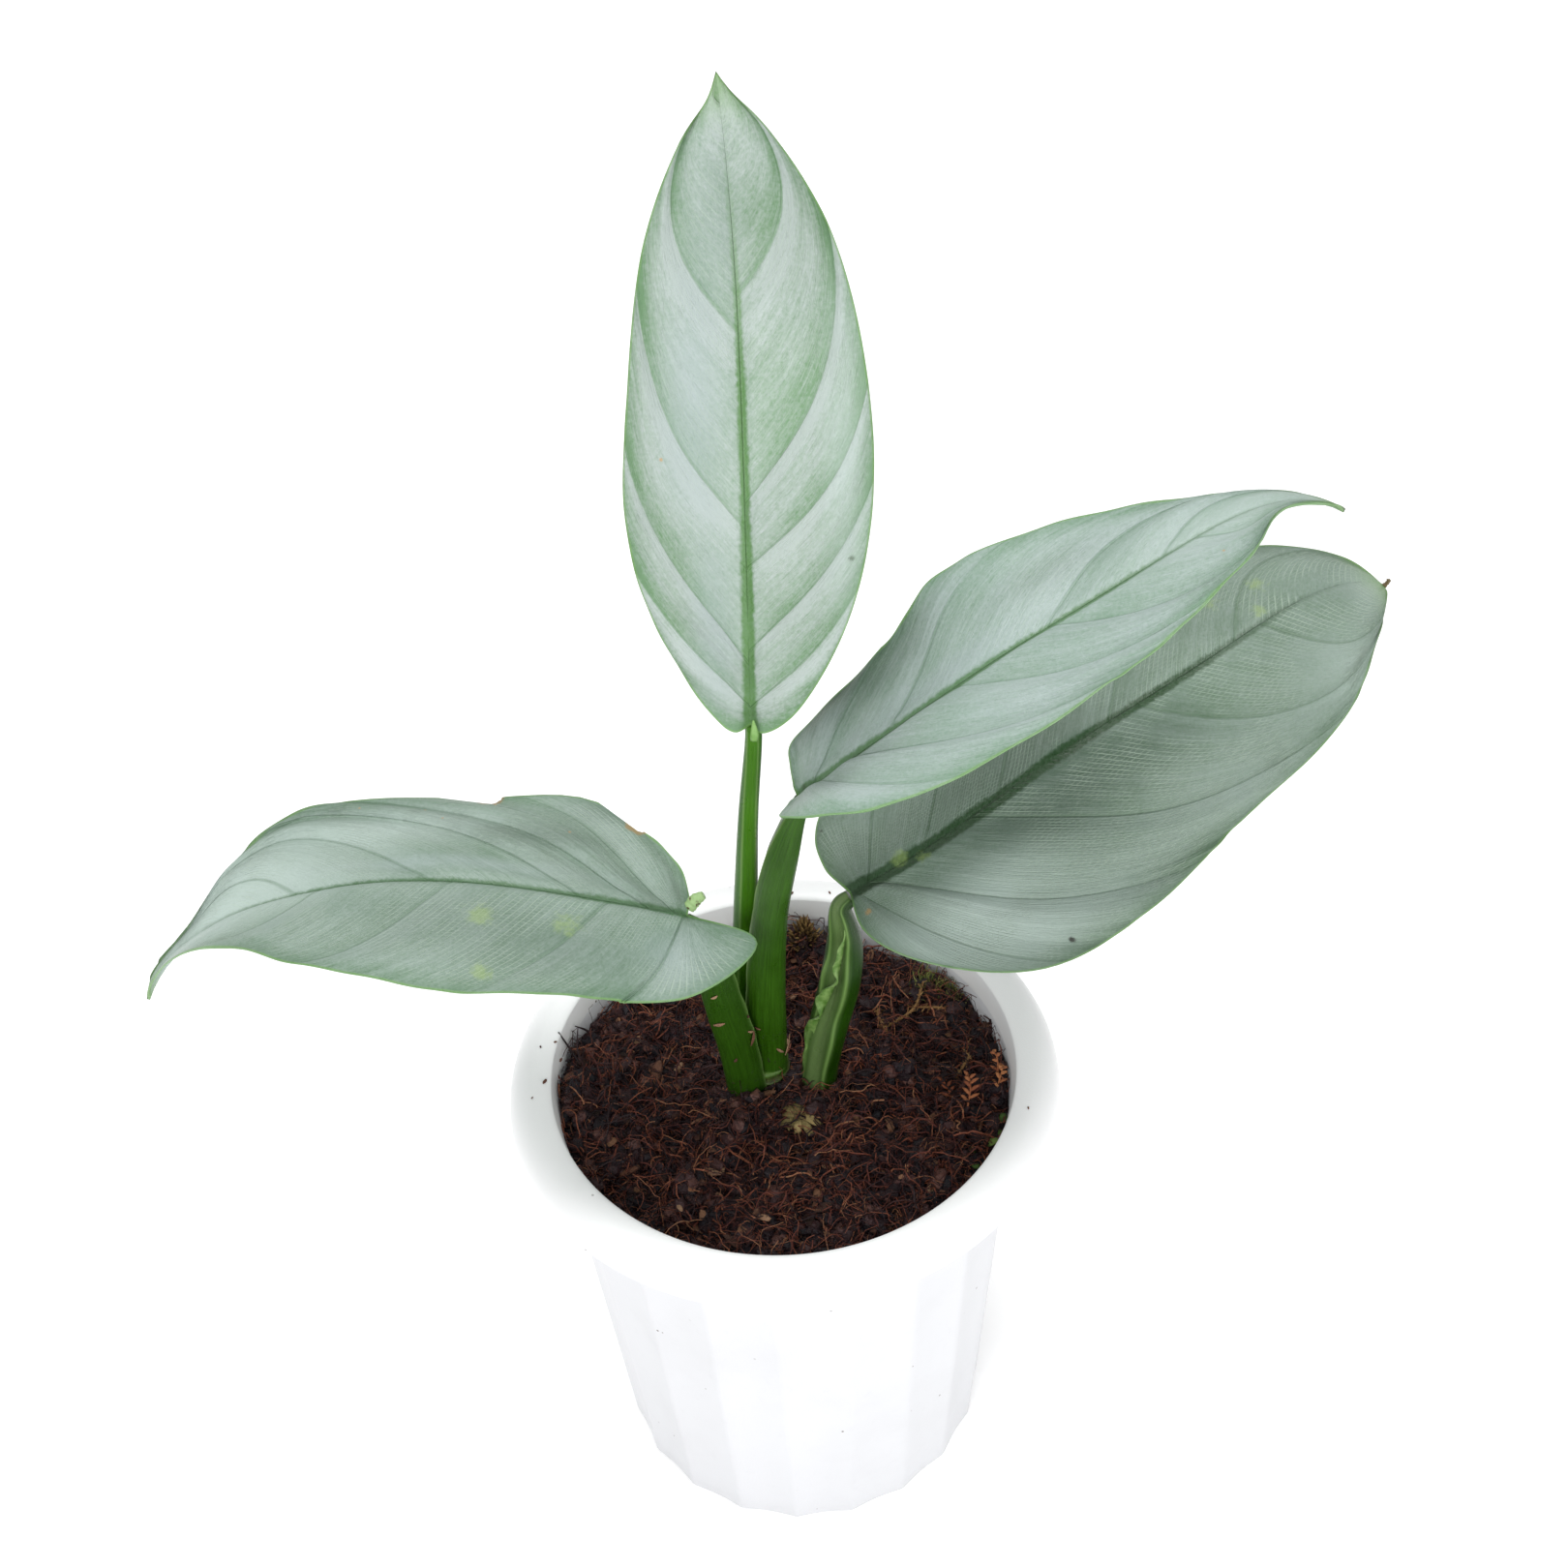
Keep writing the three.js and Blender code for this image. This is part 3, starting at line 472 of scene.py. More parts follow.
MARKS = {"dark": ((0.06, 0.1, 0.05), 0.7, 0.9), "black": ((0.015, 0.015, 0.01), 0.95, 0.9),
         "amber": ((0.5, 0.3, 0.12), 0.75, 0.9), "yellow": ((0.3, 0.42, 0.12), 0.42, 0.9),
         "green": ((0.08, 0.19, 0.06), 0.6, 0.9), "scar": ((0.34, 0.23, 0.09), 0.85, 0.2)}
SCAR_WIDTH = 1.1
ZONE_TONES = {"pale": (0.5, 0.6, 0.56), "dark": (0.03, 0.06, 0.035), "blue": (0.38, 0.45, 0.46),
              "fresh": (0.1, 0.27, 0.04)}
NET_TONE = (0.42, 0.53, 0.42)
NET_SPACING = 0.95
MARGIN_GREEN = (0.17, 0.36, 0.08)
TIP_GREEN = (0.2, 0.37, 0.12)
# Painted shade and sheen across a panel: little bloom just beyond a vein, as painted shade, full
# bloom just before the next, as painted sheen
PANEL_SHEEN_AND_SHADE = [(place, grey, grey, grey) for place, grey in (
    (0.0, 0.12), (0.05, 0), (0.2, 0.22), (0.4, 0.5), (0.68, 0.55), (0.86, 1), (0.97, 0.85),
    (1.0, 0.12))]


def blade_finish(name, looks):
    """Silver bloom over green with painted shade and sheen in bands across the panels and in zones,
    side veins, a fine net, a green midrib and margin, and marks.
    flat is the place on the flat blade in millimetres with the distance to the margin, and
    veins is the vein count from the base, the share out to the margin, and the under side."""
    finish = Finish("blade_" + name, Roughness=0.4)
    blade = BLADES[name]
    length = blade["length"]
    flat = finish.attribute("flat", "Vector")
    x, y, edge = flat.axes()
    count, share, under = finish.attribute("veins", "Vector").axes()
    across = y.math("ABSOLUTE")
    # Bloom, cloudy and streaky, thinner toward the margin, with painted shade and sheen in bands
    # along the veins
    cloud = finish.noise(50, 4, 0.6)
    grain = finish.noise(1100, 2, 0.6)
    streaks = finish.noise(1, 4, 0.7, finish.join(count * 12, share * 2))
    fine = finish.noise(1, 3, 0.65, finish.join(count * 75, share * 16))
    sheen_bands = (count.math("FRACT").ramp(PANEL_SHEEN_AND_SHADE) - 0.5) * share.step(-0.12, 0.4) * (1 - under)
    bloom_and_sheen = sheen_bands * looks["panels"] + cloud.swing(0.7) + streaks.swing(1.1)
    bloom_and_sheen = bloom_and_sheen + fine.swing(0.9) + grain.swing(0.8) + 0.68 - edge.step(6, 0) * 0.4
    colour = bloom_and_sheen.within(0, 1.15).mix(looks["green"], looks["silver"])
    # Zones: pale and blue are painted sheen, dark is painted shade, fresh is the blade's own fresher
    # green
    for at_x, at_y, reach_x, reach_y, gain, tone in looks["zones"]:
        away = flat.vector("SUBTRACT", (at_x, at_y, 0))
        away = away.vector("MULTIPLY", (1 / reach_x, 1 / reach_y, 0))
        away = away.vector("LENGTH", output="Value") + streaks.swing(0.5)
        colour = (away.step(1.05, 0) * gain).mix(colour, ZONE_TONES[tone])
    # Fine parallel veins, with short links between them
    lines = count * looks["fine_veins"] + finish.noise(90, 2).swing(0.6)
    line = lines.saw().step(0.33, 0.5)
    shift = lines.node("ShaderNodeTexWhiteNoise", {"W": lines.math("FLOOR")},
                       noise_dimensions="1D")
    links = across / NET_SPACING + shift * 3 + finish.noise(500, 1).swing(1.1)
    net = line.math("MAXIMUM", links.saw().step(0.36, 0.5) * 0.75)
    faded = finish.noise(70).step(0.36, 0.6) * edge.step(0.5, 3) * looks["net"]
    colour = (net * faded * 0.36).mix(colour, NET_TONE)
    # Side veins: a thin darker green line that fades toward the margin
    from_vein = count.saw() * -1 + 0.5
    vein = from_vein.step(0.028, 0.003) * (1 - share * share * 0.75) * count.step(0.4, 0.9)
    colour = (vein * 0.45).mix(colour, looks["green"])
    # Midrib: green, feathered, broad at the base and lost near the tip
    taper = 1 - x.math("MAXIMUM", 0) * (0.78 / length)
    feather = across + finish.noise(800).swing(1.3) + cloud.swing(0.8)
    half_width = looks["midrib_half"] * taper * (1 + under * 0.6)
    midrib = ((feather - half_width) * 0.85 + 0.5).step(1, 0) * x.step(length * 0.98, length * 0.5)
    rib_colour = ((grain - 0.3) * 1.6 * cloud).mix(looks["midrib"], looks["green"])
    colour = (midrib * 0.94).mix(colour, rib_colour)
    # Margin: a bright green line, and the green tip
    colour = (edge.step(0.65, 0.2) * 0.6).mix(colour, MARGIN_GREEN)
    colour = (x.step(length * 0.9, length * 1.02) * 0.7).mix(colour, TIP_GREEN)
    # Marks, and dry scars round the nicks
    scars = [("scar", nick_x, sign * nick_y, radius + SCAR_WIDTH)
             for side, sign in (("left", 1), ("right", -1))
             for nick_x, nick_y, radius in nicks_of(blade, side)]
    for kind, mark_x, mark_y, radius in looks["marks"] + scars:
        tone, gain, soft = MARKS[kind]
        away = flat.vector("MULTIPLY", (1, 1, 0))
        away = away.vector("DISTANCE", (mark_x, mark_y, 0), output="Value")
        ragged = away + (finish.noise(330, 4, 0.7) - 0.5) * radius * soft * 3.4
        mask = ragged.step(radius * 1.1, radius * (1 - soft)) * gain
        colour = mask.mix(colour, tone)
    height = net * faded * -0.35 + vein * -1.2 + streaks.swing(2.2) + fine.swing(0.9)
    height = height + grain.swing(0.6)
    rough = cloud.swing(0.25) + 0.4 + under * 0.15 + midrib * -0.06 + grain.swing(0.2)
    return finish.wear(Base_Color=colour, Roughness=rough, Normal=finish.bump(height, 0.00018))


# Leaves

BLADE_ROWS = 250
BLADE_COLUMNS = 38
BLADE_SKIN = 0.5


def midrib_frame(blade, stations=200):
    """Points along the midrib with their forward, side and upper directions."""
    s = np.linspace(0, 1, stations + 1)
    azimuth, pitch, roll = (np.radians(along(blade[k], s))[:, None]
                            for k in ("azimuth", "pitch", "roll"))
    forward = np.hstack((np.cos(pitch) * np.cos(azimuth), np.cos(pitch) * np.sin(azimuth),
                         np.sin(pitch)))
    level = np.hstack((-np.sin(azimuth), np.cos(azimuth), 0 * azimuth))
    up = np.cross(forward, level)
    steps = (forward[1:] + forward[:-1]) * blade["length"] / stations / 2
    points = np.vstack((blade["base"], blade["base"] + np.cumsum(steps, axis=0)))
    side = level * np.cos(roll) + up * np.sin(roll)
    upper = up * np.cos(roll) - level * np.sin(roll)
    return s, points, forward, side, upper


def on_blade(blade, x, y, lift):
    """Points of the curved blade for flat places, raised by lift from its surface."""
    s, *fields = midrib_frame(blade)
    u = np.clip(x / blade["length"], 0, 1)
    points, forward, side, upper = (np.stack([np.interp(u, s, field[:, k]) for k in range(3)], -1)
                                    for field in fields)
    fold, curl = (np.radians(np.where(y >= 0, along(blade["left"][k], u),
                                      along(blade["right"][k], u))) for k in ("fold", "curl"))
    turn = curl / CURL_REACH
    turn = np.where(np.abs(turn) < 1e-6, 1e-6, turn)
    reach = np.abs(y)
    across = np.sign(y) * (np.sin(fold + turn * reach) - np.sin(fold)) / turn
    height = (np.cos(fold) - np.cos(fold + turn * reach)) / turn
    slope = (fold + turn * reach) * np.minimum(1, reach)
    normal = unit(upper * np.cos(slope)[..., None]
                  - side * (np.sign(y) * np.sin(slope))[..., None])
    return (points + forward * np.minimum(x, 0)[..., None] + side * across[..., None]
            + upper * height[..., None] + normal * np.asarray(lift)[..., None])


def margin_of(blade, side, count=BLADE_ROWS):
    """A half's margin on the flat blade, from the base to the tip."""
    return smooth_line([(0, 0), *blade[side]["outline"], (blade["length"], 0)], count)


def nicks_of(blade, side):
    """The nicks in a half's margin, as (along, aside, radius)."""
    margin = margin_of(blade, side)
    return [(*margin[int(place * (BLADE_ROWS - 1))], radius)
            for place, radius in blade[side]["nicks"]]


def half_rows(blade, side):
    """The half's margin, and its foot, margin share and vein count at each row. Rows follow
    the side veins, and both halves share their feet on the midrib."""
    margin = margin_of(blade, side)
    share = np.linspace(0, 1, BLADE_ROWS)
    lobe = int(np.argmin(margin[:, 0]))
    feet, ends = zip(*blade[side]["veins"])
    ends = np.interp(np.array(ends) * blade["length"], margin[lobe:, 0], share[lobe:])
    return margin, np.array([0, *feet, 1]), np.array([0, *ends, 1])


def clear_of_nicks(blade, side, x, y):
    """Which places lie outside every nick, whose edges are a little ragged."""
    free = np.ones(x.shape, bool)
    wobble = 1 + 0.16 * np.sin(3.1 * x) * np.cos(2.3 * y)
    for nick_x, nick_y, radius in nicks_of(blade, side):
        free &= np.hypot(x - nick_x, np.abs(y) - nick_y) > radius * wobble
    return free


def half_grid(blade, side, foot):
    """Flat places, vein counts and margin distances of one half, rows by columns."""
    sign = 1 if side == "left" else -1
    margin, feet, ends = half_rows(blade, side)
    share = np.interp(foot, feet, ends)
    count = np.interp(foot, feet, np.arange(len(feet)))
    edge = np.stack([np.interp(share, np.linspace(0, 1, BLADE_ROWS), margin[:, k])
                     for k in range(2)], 1)
    lobe = int(np.argmin(margin[:, 0]))
    blend = smoothstep(0.1, 0.35, edge[:, 0] / blade["length"])[:, None]

    def flat(v):
        x = foot[:, None] * blade["length"]
        x = x + (edge[:, :1] - x) * (0.6 * v + 0.4 * v ** 4)
        width = np.interp(x, margin[lobe:, 0], margin[lobe:, 1])
        return x, v * (edge[:, 1:] + (width - edge[:, 1:]) * blend)

    v = np.concatenate((np.linspace(0, 1, BLADE_COLUMNS)[:-1] ** 1.25, [0.984, 1]))[None, :]
    v = np.repeat(v, len(foot), 0)
    if blade[side]["nicks"]:
        probes = 400
        probe = np.repeat(np.linspace(0, 1, probes)[None, :], len(foot), 0)
        free = clear_of_nicks(blade, side, *flat(probe))
        v = v * np.where(free.all(1), 1, np.argmin(free, 1) / probes)[:, None]
    x, y = flat(v)
    fine = margin_of(blade, side, 500)
    edge_away = np.min(np.hypot(x.reshape(-1, 1) - fine[:, 0], y.reshape(-1, 1) - fine[:, 1]), 1)
    return x, sign * y, np.repeat(count[:, None], v.shape[1], 1), v, edge_away.reshape(x.shape)


def leaf(name):
    """A blade of two skins: panels that rise between the side veins, a waved margin, and a midrib
    that is a groove above and a rib below."""
    blade = BLADES[name]
    rows = np.linspace(0, 1, BLADE_ROWS)
    feet = [np.interp(rows, half_rows(blade, side)[2], half_rows(blade, side)[1])
            for side in ("left", "right")]
    foot = (feet[0] + feet[1]) / 2
    grids = [half_grid(blade, side, foot) for side in ("left", "right")]
    x, y, count, v, edge = (np.hstack((a[:, :0:-1], b)) for a, b in zip(*grids))
    left = np.arange(x.shape[1]) < grids[0][0].shape[1] - 1
    reach = np.abs(y)
    fade = np.minimum(1, reach / 5) * smoothstep(0, 5, edge)
    panel = np.abs(np.sin(np.pi * count)) ** 0.8
    lean = np.sin(2 * np.pi * count)
    relief = blade["panel"] * fade * (1.15 * panel - 0.55 - 0.3 * lean)
    relief += 0.07 * fade * np.sin(2 * np.pi * 4 * count + 3 * v) * np.sin(np.pi * v)
    height, waves, phase = blade["wave"]
    ripple = height * v ** 3 * np.minimum(1, reach / 6)
    relief += ripple * np.sin(2 * np.pi * waves * rows[:, None] + phase + np.where(left, 1, -1))
    relief += 0.25 * v ** 6 * np.sin(2 * np.pi * 11 * rows[:, None] + 2 * phase)
    taper = np.clip(1 - 0.85 * x / blade["length"], 0.1, 1)
    channel = 0.55 * taper * bell(reach / 1.3)
    cushion = 0.22 * taper * bell((reach - 3) / 1.3)
    rounded = np.sqrt(np.clip(1 - (reach / 1.9) ** 2, 0, 1))
    rib = blade["rib"] * taper * np.clip(x / 2.5, 0, 1) * rounded
    cord = 0.28 * (1 - v) * fade * bell(((count + 0.5) % 1 - 0.5) * 22) * (count > 0.5)
    top = on_blade(blade, x, y, relief - channel + cushion + BLADE_SKIN / 2)
    bottom = on_blade(blade, x, y, relief - rib - cord - BLADE_SKIN / 2)
    rows_n, columns_n = x.shape
    size = rows_n * columns_n
    faces = grid_faces(rows_n, columns_n)
    faces += grid_faces(rows_n, columns_n, size)
    for column in (0, columns_n - 1):
        strip = np.arange(rows_n - 1) * columns_n + column
        faces += np.stack([strip, strip + columns_n, strip + columns_n + size, strip + size],
                          1).tolist()
    flat = np.stack((x, y, edge), -1).reshape(-1, 3)
    marks = [np.stack((count, v, np.full(x.shape, side)), -1).reshape(-1, 3) for side in (0, 1)]
    points = np.vstack((top.reshape(-1, 3), bottom.reshape(-1, 3)))
    piece = piece_from("blade_" + name, points, faces, blade_finish(name, BLADE_LOOKS[name]),
                       {"flat": np.vstack((flat, flat)), "veins": np.vstack(marks)})
    settle(piece, "leaf", "leaf_" + name)


for blade_name in BLADES:
    leaf(blade_name)


# Closed ring shapes


def rings_mesh(rings, start=0):
    """Points and faces of closed rings, with a point in the middle of each end."""
    rows, sides = rings.shape[:2]
    points = np.vstack((rings.reshape(-1, 3), rings[0].mean(0), rings[-1].mean(0)))
    faces = grid_faces(rows, sides, start, closed=True)
    last = start + (rows - 1) * sides
    for k in range(sides):
        faces.append([start + (k + 1) % sides, start + k, start + rows * sides])
        faces.append([last + k, last + (k + 1) % sides, start + rows * sides + 1])
    return points, faces


def many_rings(shapes):
    """Points and faces of several ring shapes, and how many points each has."""
    points, faces, counts = [], [], []
    for rings in shapes:
        more, their_faces = rings_mesh(rings, sum(counts))
        points.append(more)
        faces += their_faces
        counts.append(len(more))
    return np.vstack(points), faces, counts


def along_path(line):
    return unit(np.gradient(line, axis=0))


def tube(path, radius, rows=24, sides=12, wobble=0.0):
    """A round bar along a path, with its radius given at equal steps."""
    line = smooth_line(path, rows)
    forward = along_path(line)
    across = unit(np.cross(forward, (0.3, 0.2, 1) if abs(forward[0, 2]) < 0.8 else (1, 0.2, 0)))
    other = np.cross(forward, across)
    s = np.linspace(0, 1, rows)
    reach = along(radius, s) if np.ndim(radius) else np.full(rows, float(radius))
    reach = reach * (1 + wobble * np.sin(23 * s + line[:, 0]))
    turn = around(sides)[None, :, None]
    return line[:, None] + reach[:, None, None] * (across[:, None] * np.cos(turn)
                                                   + other[:, None] * np.sin(turn))


def ribbon(path, width, thick, rows=7, up=(0, 0, 1)):
    """Rings of a flat closed strip along a path: leaflets, chips and flakes."""
    line = smooth_line(path, rows, 300)
    forward = along_path(line)
    side = unit(np.cross(forward, np.asarray(up, float) + 0.01))
    lift = np.cross(side, forward)
    s = np.linspace(0, 1, rows)
    half_width, deep = (along(values, s)[:, None, None] / 2 for values in (width, thick))
    turn = (np.arange(6) * np.pi / 3)[None, :, None]
    return (line[:, None] + side[:, None] * half_width * np.cos(turn)
            + lift[:, None] * deep * np.sin(turn))


def bits(name, slot, finish, parts):
    """One piece of many small ring shapes, each with its tone."""
    shapes, tones = zip(*parts)
    points, faces, counts = many_rings(shapes)
    settle(piece_from(name, points, faces, finish, {"tone": np.repeat(tones, counts)}), slot)


# Stalks

STALK_ROWS = 130
STALK_SIDES = 44
WING_GREEN = (0.19, 0.33, 0.09)
SOOT = (0.03, 0.018, 0.01)


def stalk_finish(name, deep, fresh, inner):
    """Glossy green with fine lengthwise streaks, paler wing edges and a little grit low down.
    sheath holds the share along, the turn from the groove, and the wing edge."""
    finish = Finish("stalk_" + name, Roughness=0.32, Specular_IOR_Level=0.32)
    run, turn, wing = finish.attribute("sheath", "Vector").axes()
    streaks = finish.noise(1, 4, 0.65, finish.join(turn * 16, run * 5))
    fine = finish.noise(1, 3, 0.5, finish.join(turn * 60, run * 9))
    cloud = finish.noise(80)
    share = streaks.swing(1.7) + fine.swing(0.8) + cloud.swing(0.8) + 0.34 + run ** 3 * 0.25
    colour = share.within(0, 1).mix(deep, fresh)
    colour = (turn.step(0.75, 0.25) * 0.75).mix(colour, inner)
    colour = (wing * 0.85).mix(colour, WING_GREEN)
    soot = finish.noise(900, 3, 0.7).step(0.62, 0.72) * run.step(0.32, 0.02)
    colour = soot.mix(colour, SOOT)
    bump = streaks.swing(1.5) + (fine - 0.5) + soot * 3
    return finish.wear(Base_Color=colour, Roughness=soot * 0.4 + cloud.swing(0.2) + 0.3,
                       Normal=finish.bump(bump, 0.0001))


def stalk(name):
    """A sheathed stalk: a groove between two crisped wing edges, and fine ridges."""
    form = STALKS[name]
    _, points, forwards, _, uppers = midrib_frame(BLADES[name])
    base, heading, upper = points[0], forwards[0], uppers[0]
    end_height = form["depth"][-1] / 2 * (1 - form["groove"][-1])
    seat = base - upper * (end_height + 0.3 + form["seat"] * 0.6)
    turn_in = seat - heading * 3 - upper * 1.5
    line = smooth_line([*form["path"], turn_in, seat], STALK_ROWS)
    s = np.linspace(0, 1, STALK_ROWS)[:, None]
    forward = along_path(line)
    face = compass(form["facing"]) * (1 - s ** 4) + upper * s ** 4
    face = unit(face - forward * np.sum(face * forward, 1, keepdims=True))
    side = np.cross(forward, face)
    angle = around(STALK_SIDES)[None, :]
    from_face = np.arccos(np.clip(np.sin(angle), -1, 1))
    groove = along(form["groove"], s)
    scoop = 1 - groove * bell(from_face / 0.55)
    wing = bell((from_face - 0.75) / 0.3)
    flutter = np.sin(2 * np.pi * 3.5 * s) * np.sin(np.pi * s)
    crisp = bell((from_face - 0.72) / 0.13) * (0.035 + 0.05 * groove) * np.sin(np.pi * s) ** 0.5
    crisp = crisp * (1 + 0.5 * np.sin(2 * np.pi * 7 * s + 4 * np.cos(angle)))
    ridges = 0.008 * np.cos(11 * angle) * smoothstep(0, 0.1, s)
    reach = scoop * (1 + form["ruffle"] * wing * flutter + crisp + ridges)
    width, depth = along(form["width"], s), along(form["depth"], s)
    rings = (line[:, None] + side[:, None] * (0.5 * width * reach * np.cos(angle))[..., None]
             + face[:, None] * (0.5 * depth * reach * np.sin(angle))[..., None])
    points, faces = rings_mesh(rings)
    marks = np.stack((s + 0 * angle, from_face + 0 * s,
                      bell((from_face - 0.72) / 0.1) * np.clip(groove * 4, 0, 1)), -1)
    marks = np.vstack((marks.reshape(-1, 3), marks[0, 0], marks[-1, 0]))
    piece = piece_from("stalk_" + name, points, faces, stalk_finish(name, *form["greens"]),
                       {"sheath": marks})
    settle(piece, "petiole", "petiole_" + name)


for stalk_name in STALKS:
    stalk(stalk_name)


def sheath_wing():
    """The open sheath's free margin on the lower stalk: a pale fin that crosses the groove in
    waves and runs out on the left."""
    rows = 90
    form = STALKS["lower"]
    line = smooth_line([*form["path"], BLADES["lower"]["base"] - np.array([0, 0, 3])], rows)
    forward = along_path(line)
    front, left = (unit(way - forward * (forward @ way)[:, None])
                   for way in ((0, -1, 0), (-1, 0, 0)))
    s = np.linspace(0, 1, rows)
    turn = np.radians(75 - 68 * smoothstep(0.25, 0.9, s))
    wave = np.sin(2 * np.pi * 5.2 * s + 0.6) * np.sin(np.pi * s) + 0.35 * np.sin(2 * np.pi * 11 * s)
    radius = 0.5 * along(form["width"], s) * (1 - 0.5 * smoothstep(0.9, 1, s))
    fin = np.sin(np.pi * np.clip((s - 0.18) / 0.8, 0, 1)) ** 0.6

    def point(reach, angle):
        return line + (radius * reach)[:, None] * (front * np.cos(angle)[:, None]
                                                   + left * np.sin(angle)[:, None])

    root = point(np.full(rows, 0.78), turn)
    tip = point(0.8 + 0.42 * fin, turn + 0.3 * wave * fin + 0.2)
    middle = (root + tip) / 2 + front * (0.25 * wave * fin)[:, None]
    thin = unit(np.cross(forward, tip - root)) * 0.2
    return np.stack((root + thin, middle + thin, tip + thin * 0.5, tip - thin * 0.5,
                     middle - thin, root - thin), 1)


def fittings():
    """The wavy sheath margin, the short heel at the left blade's sinus, the tongue at the upright
    blade's, and the dead curl at the lower blade's tip."""
    pale = mottled("sheath_margin", 0.45, (0.06, 0.16, 0.015), (0.21, 0.34, 0.1), 500, 3, (0.3, 0.7))
    bits("sheath_margin", "petiole", pale, [(sheath_wing(), 0.5)])
    spotted = mottled("heel", 0.5, (0.3, 0.46, 0.19), (0.08, 0.05, 0.02), 600, 2, (0.58, 0.64))
    bits("leaf_heel", "petiole", spotted, [
        (tube([(-21, -1.6, 205.6), (-19.2, -0.6, 207.4), (-17, -0.2, 208.6)], (1.6, 1.7, 1.1),
              16, 14, 0.06), 0.5)])
    fresh = mottled("tongue", 0.45, (0.12, 0.3, 0.04), (0.3, 0.5, 0.18), 400)
    bits("leaf_tongue", "petiole", fresh, [
        (ribbon([(-1.3, 0.9, 258.5), (-1.1, -0.1, 262), (-1.2, 0.4, 265.4)], (1.8, 2.2, 1.6, 0.4),
                (0.6, 0.5, 0.4, 0.2), 12, (0, -1, 0.2)), 0.5)])
    blade = BLADES["lower"]
    tip = on_blade(blade, np.array([blade["length"] - 1.0]), np.array([0.0]), np.array([0.0]))[0]
    dry = mottled("dead_tip", 0.7, (0.05, 0.03, 0.015), (0.2, 0.15, 0.06), 900)
    bits("leaf_dead_tip", "leaf", dry, [
        (tube([tip, tip + (0.9, 0.8, 0.1), tip + (1.5, 0.6, 1.4), tip + (0.8, 0.2, 2.1)],
              (0.8, 0.6, 0.5, 0.2), 14, 8, 0.15), 0.5)])


fittings()


# Stem

STEM_TONES = {"dark": (0.03, 0.075, 0.008), "light": (0.1, 0.2, 0.03),
              "scar": (0.05, 0.045, 0.015), "buried": (0.17, 0.11, 0.06)}


def stem():
    """The crown with its leaf-scar rings, a side branch and thick roots."""
    cx, cy = STEM["centre"]
    r, top, scar, bulge = STEM["radius"], STEM["top"], STEM["scar_height"], STEM["scar_bulge"]
    bottom = STEM["bottom"]
    heights, radii = zip(
        (bottom, 0.55 * r), (bottom + 5, r), (top - 4 * scar, r), (top - 3 * scar, r),
        (top - 2.5 * scar, r + 0.5 * bulge), (top - 2.2 * scar, r + bulge),
        (top - 1.9 * scar, r + 0.3 * bulge), (top - 1.4 * scar, r - 0.1), (top - 0.9 * scar, r),
        (top - 0.5 * scar, r + bulge / 2), (top - 0.1 * scar, r), (top, r - bulge))
    turn = around(72)
    z = np.concatenate((np.linspace(bottom, heights[1], 4)[:-1],
                        np.linspace(heights[1], top - 5 * scar, 14)[:-1],
                        np.linspace(top - 5 * scar, top, 46)))
    ring = np.interp(z, heights, radii)[:, None]
    ring = ring * (1 + 0.02 * np.sin(3 * turn + 0.2 * z[:, None]) + 0.008 * np.sin(17 * turn))
    wave = 0.5 * np.sin(2 * turn + 1) * smoothstep(110, 130, z)[:, None]
    shapes = [np.stack((cx + ring * np.cos(turn), cy + ring * np.sin(turn),
                        z[:, None] + wave - 0.5), -1),
              tube([(-4, 6.5, 98), (4, 4, 103), (8.2, 3.1, 111), (8.8, 3, 117.5)], 4.4, 24, 24)]
    roots = 5
    for k in range(roots):
        azimuth = 2 * np.pi * (k + 0.3) / roots
        bend = azimuth + 0.5 * math.sin(3 * k)
        start = 92 - 2 * k
        path = [(cx + d * math.cos(a), cy + d * math.sin(a), h)
                for d, a, h in ((4.7, azimuth, start), (17.1, azimuth, start - 7.2),
                                (38, bend, start - 48))]
        shapes.append(tube(path, 1.5, 30, 12, 0.06))
    points, faces, _ = many_rings(shapes)
    finish = Finish("stem_skin", Roughness=0.45)
    cloud = finish.noise(260, 4, 0.6)
    height = finish.place.axes()[2]
    colour = cloud.step(0.35, 0.65).mix(STEM_TONES["dark"], STEM_TONES["light"])
    scars = height.step((top - 3 * scar) * MM, (top - 2.4 * scar) * MM) * height.step(
        (top - 1.4 * scar) * MM, (top - 1.9 * scar) * MM)
    colour = (scars * 0.7).mix(colour, STEM_TONES["scar"])
    colour = height.step(0.124, 0.119).mix(colour, STEM_TONES["buried"])
    finish.wear(Base_Color=colour, Normal=finish.bump(cloud, 0.0003))
    settle(piece_from("stem_crown", points, faces, finish.material), "stem", "stem")


stem()


# Geometry node trees


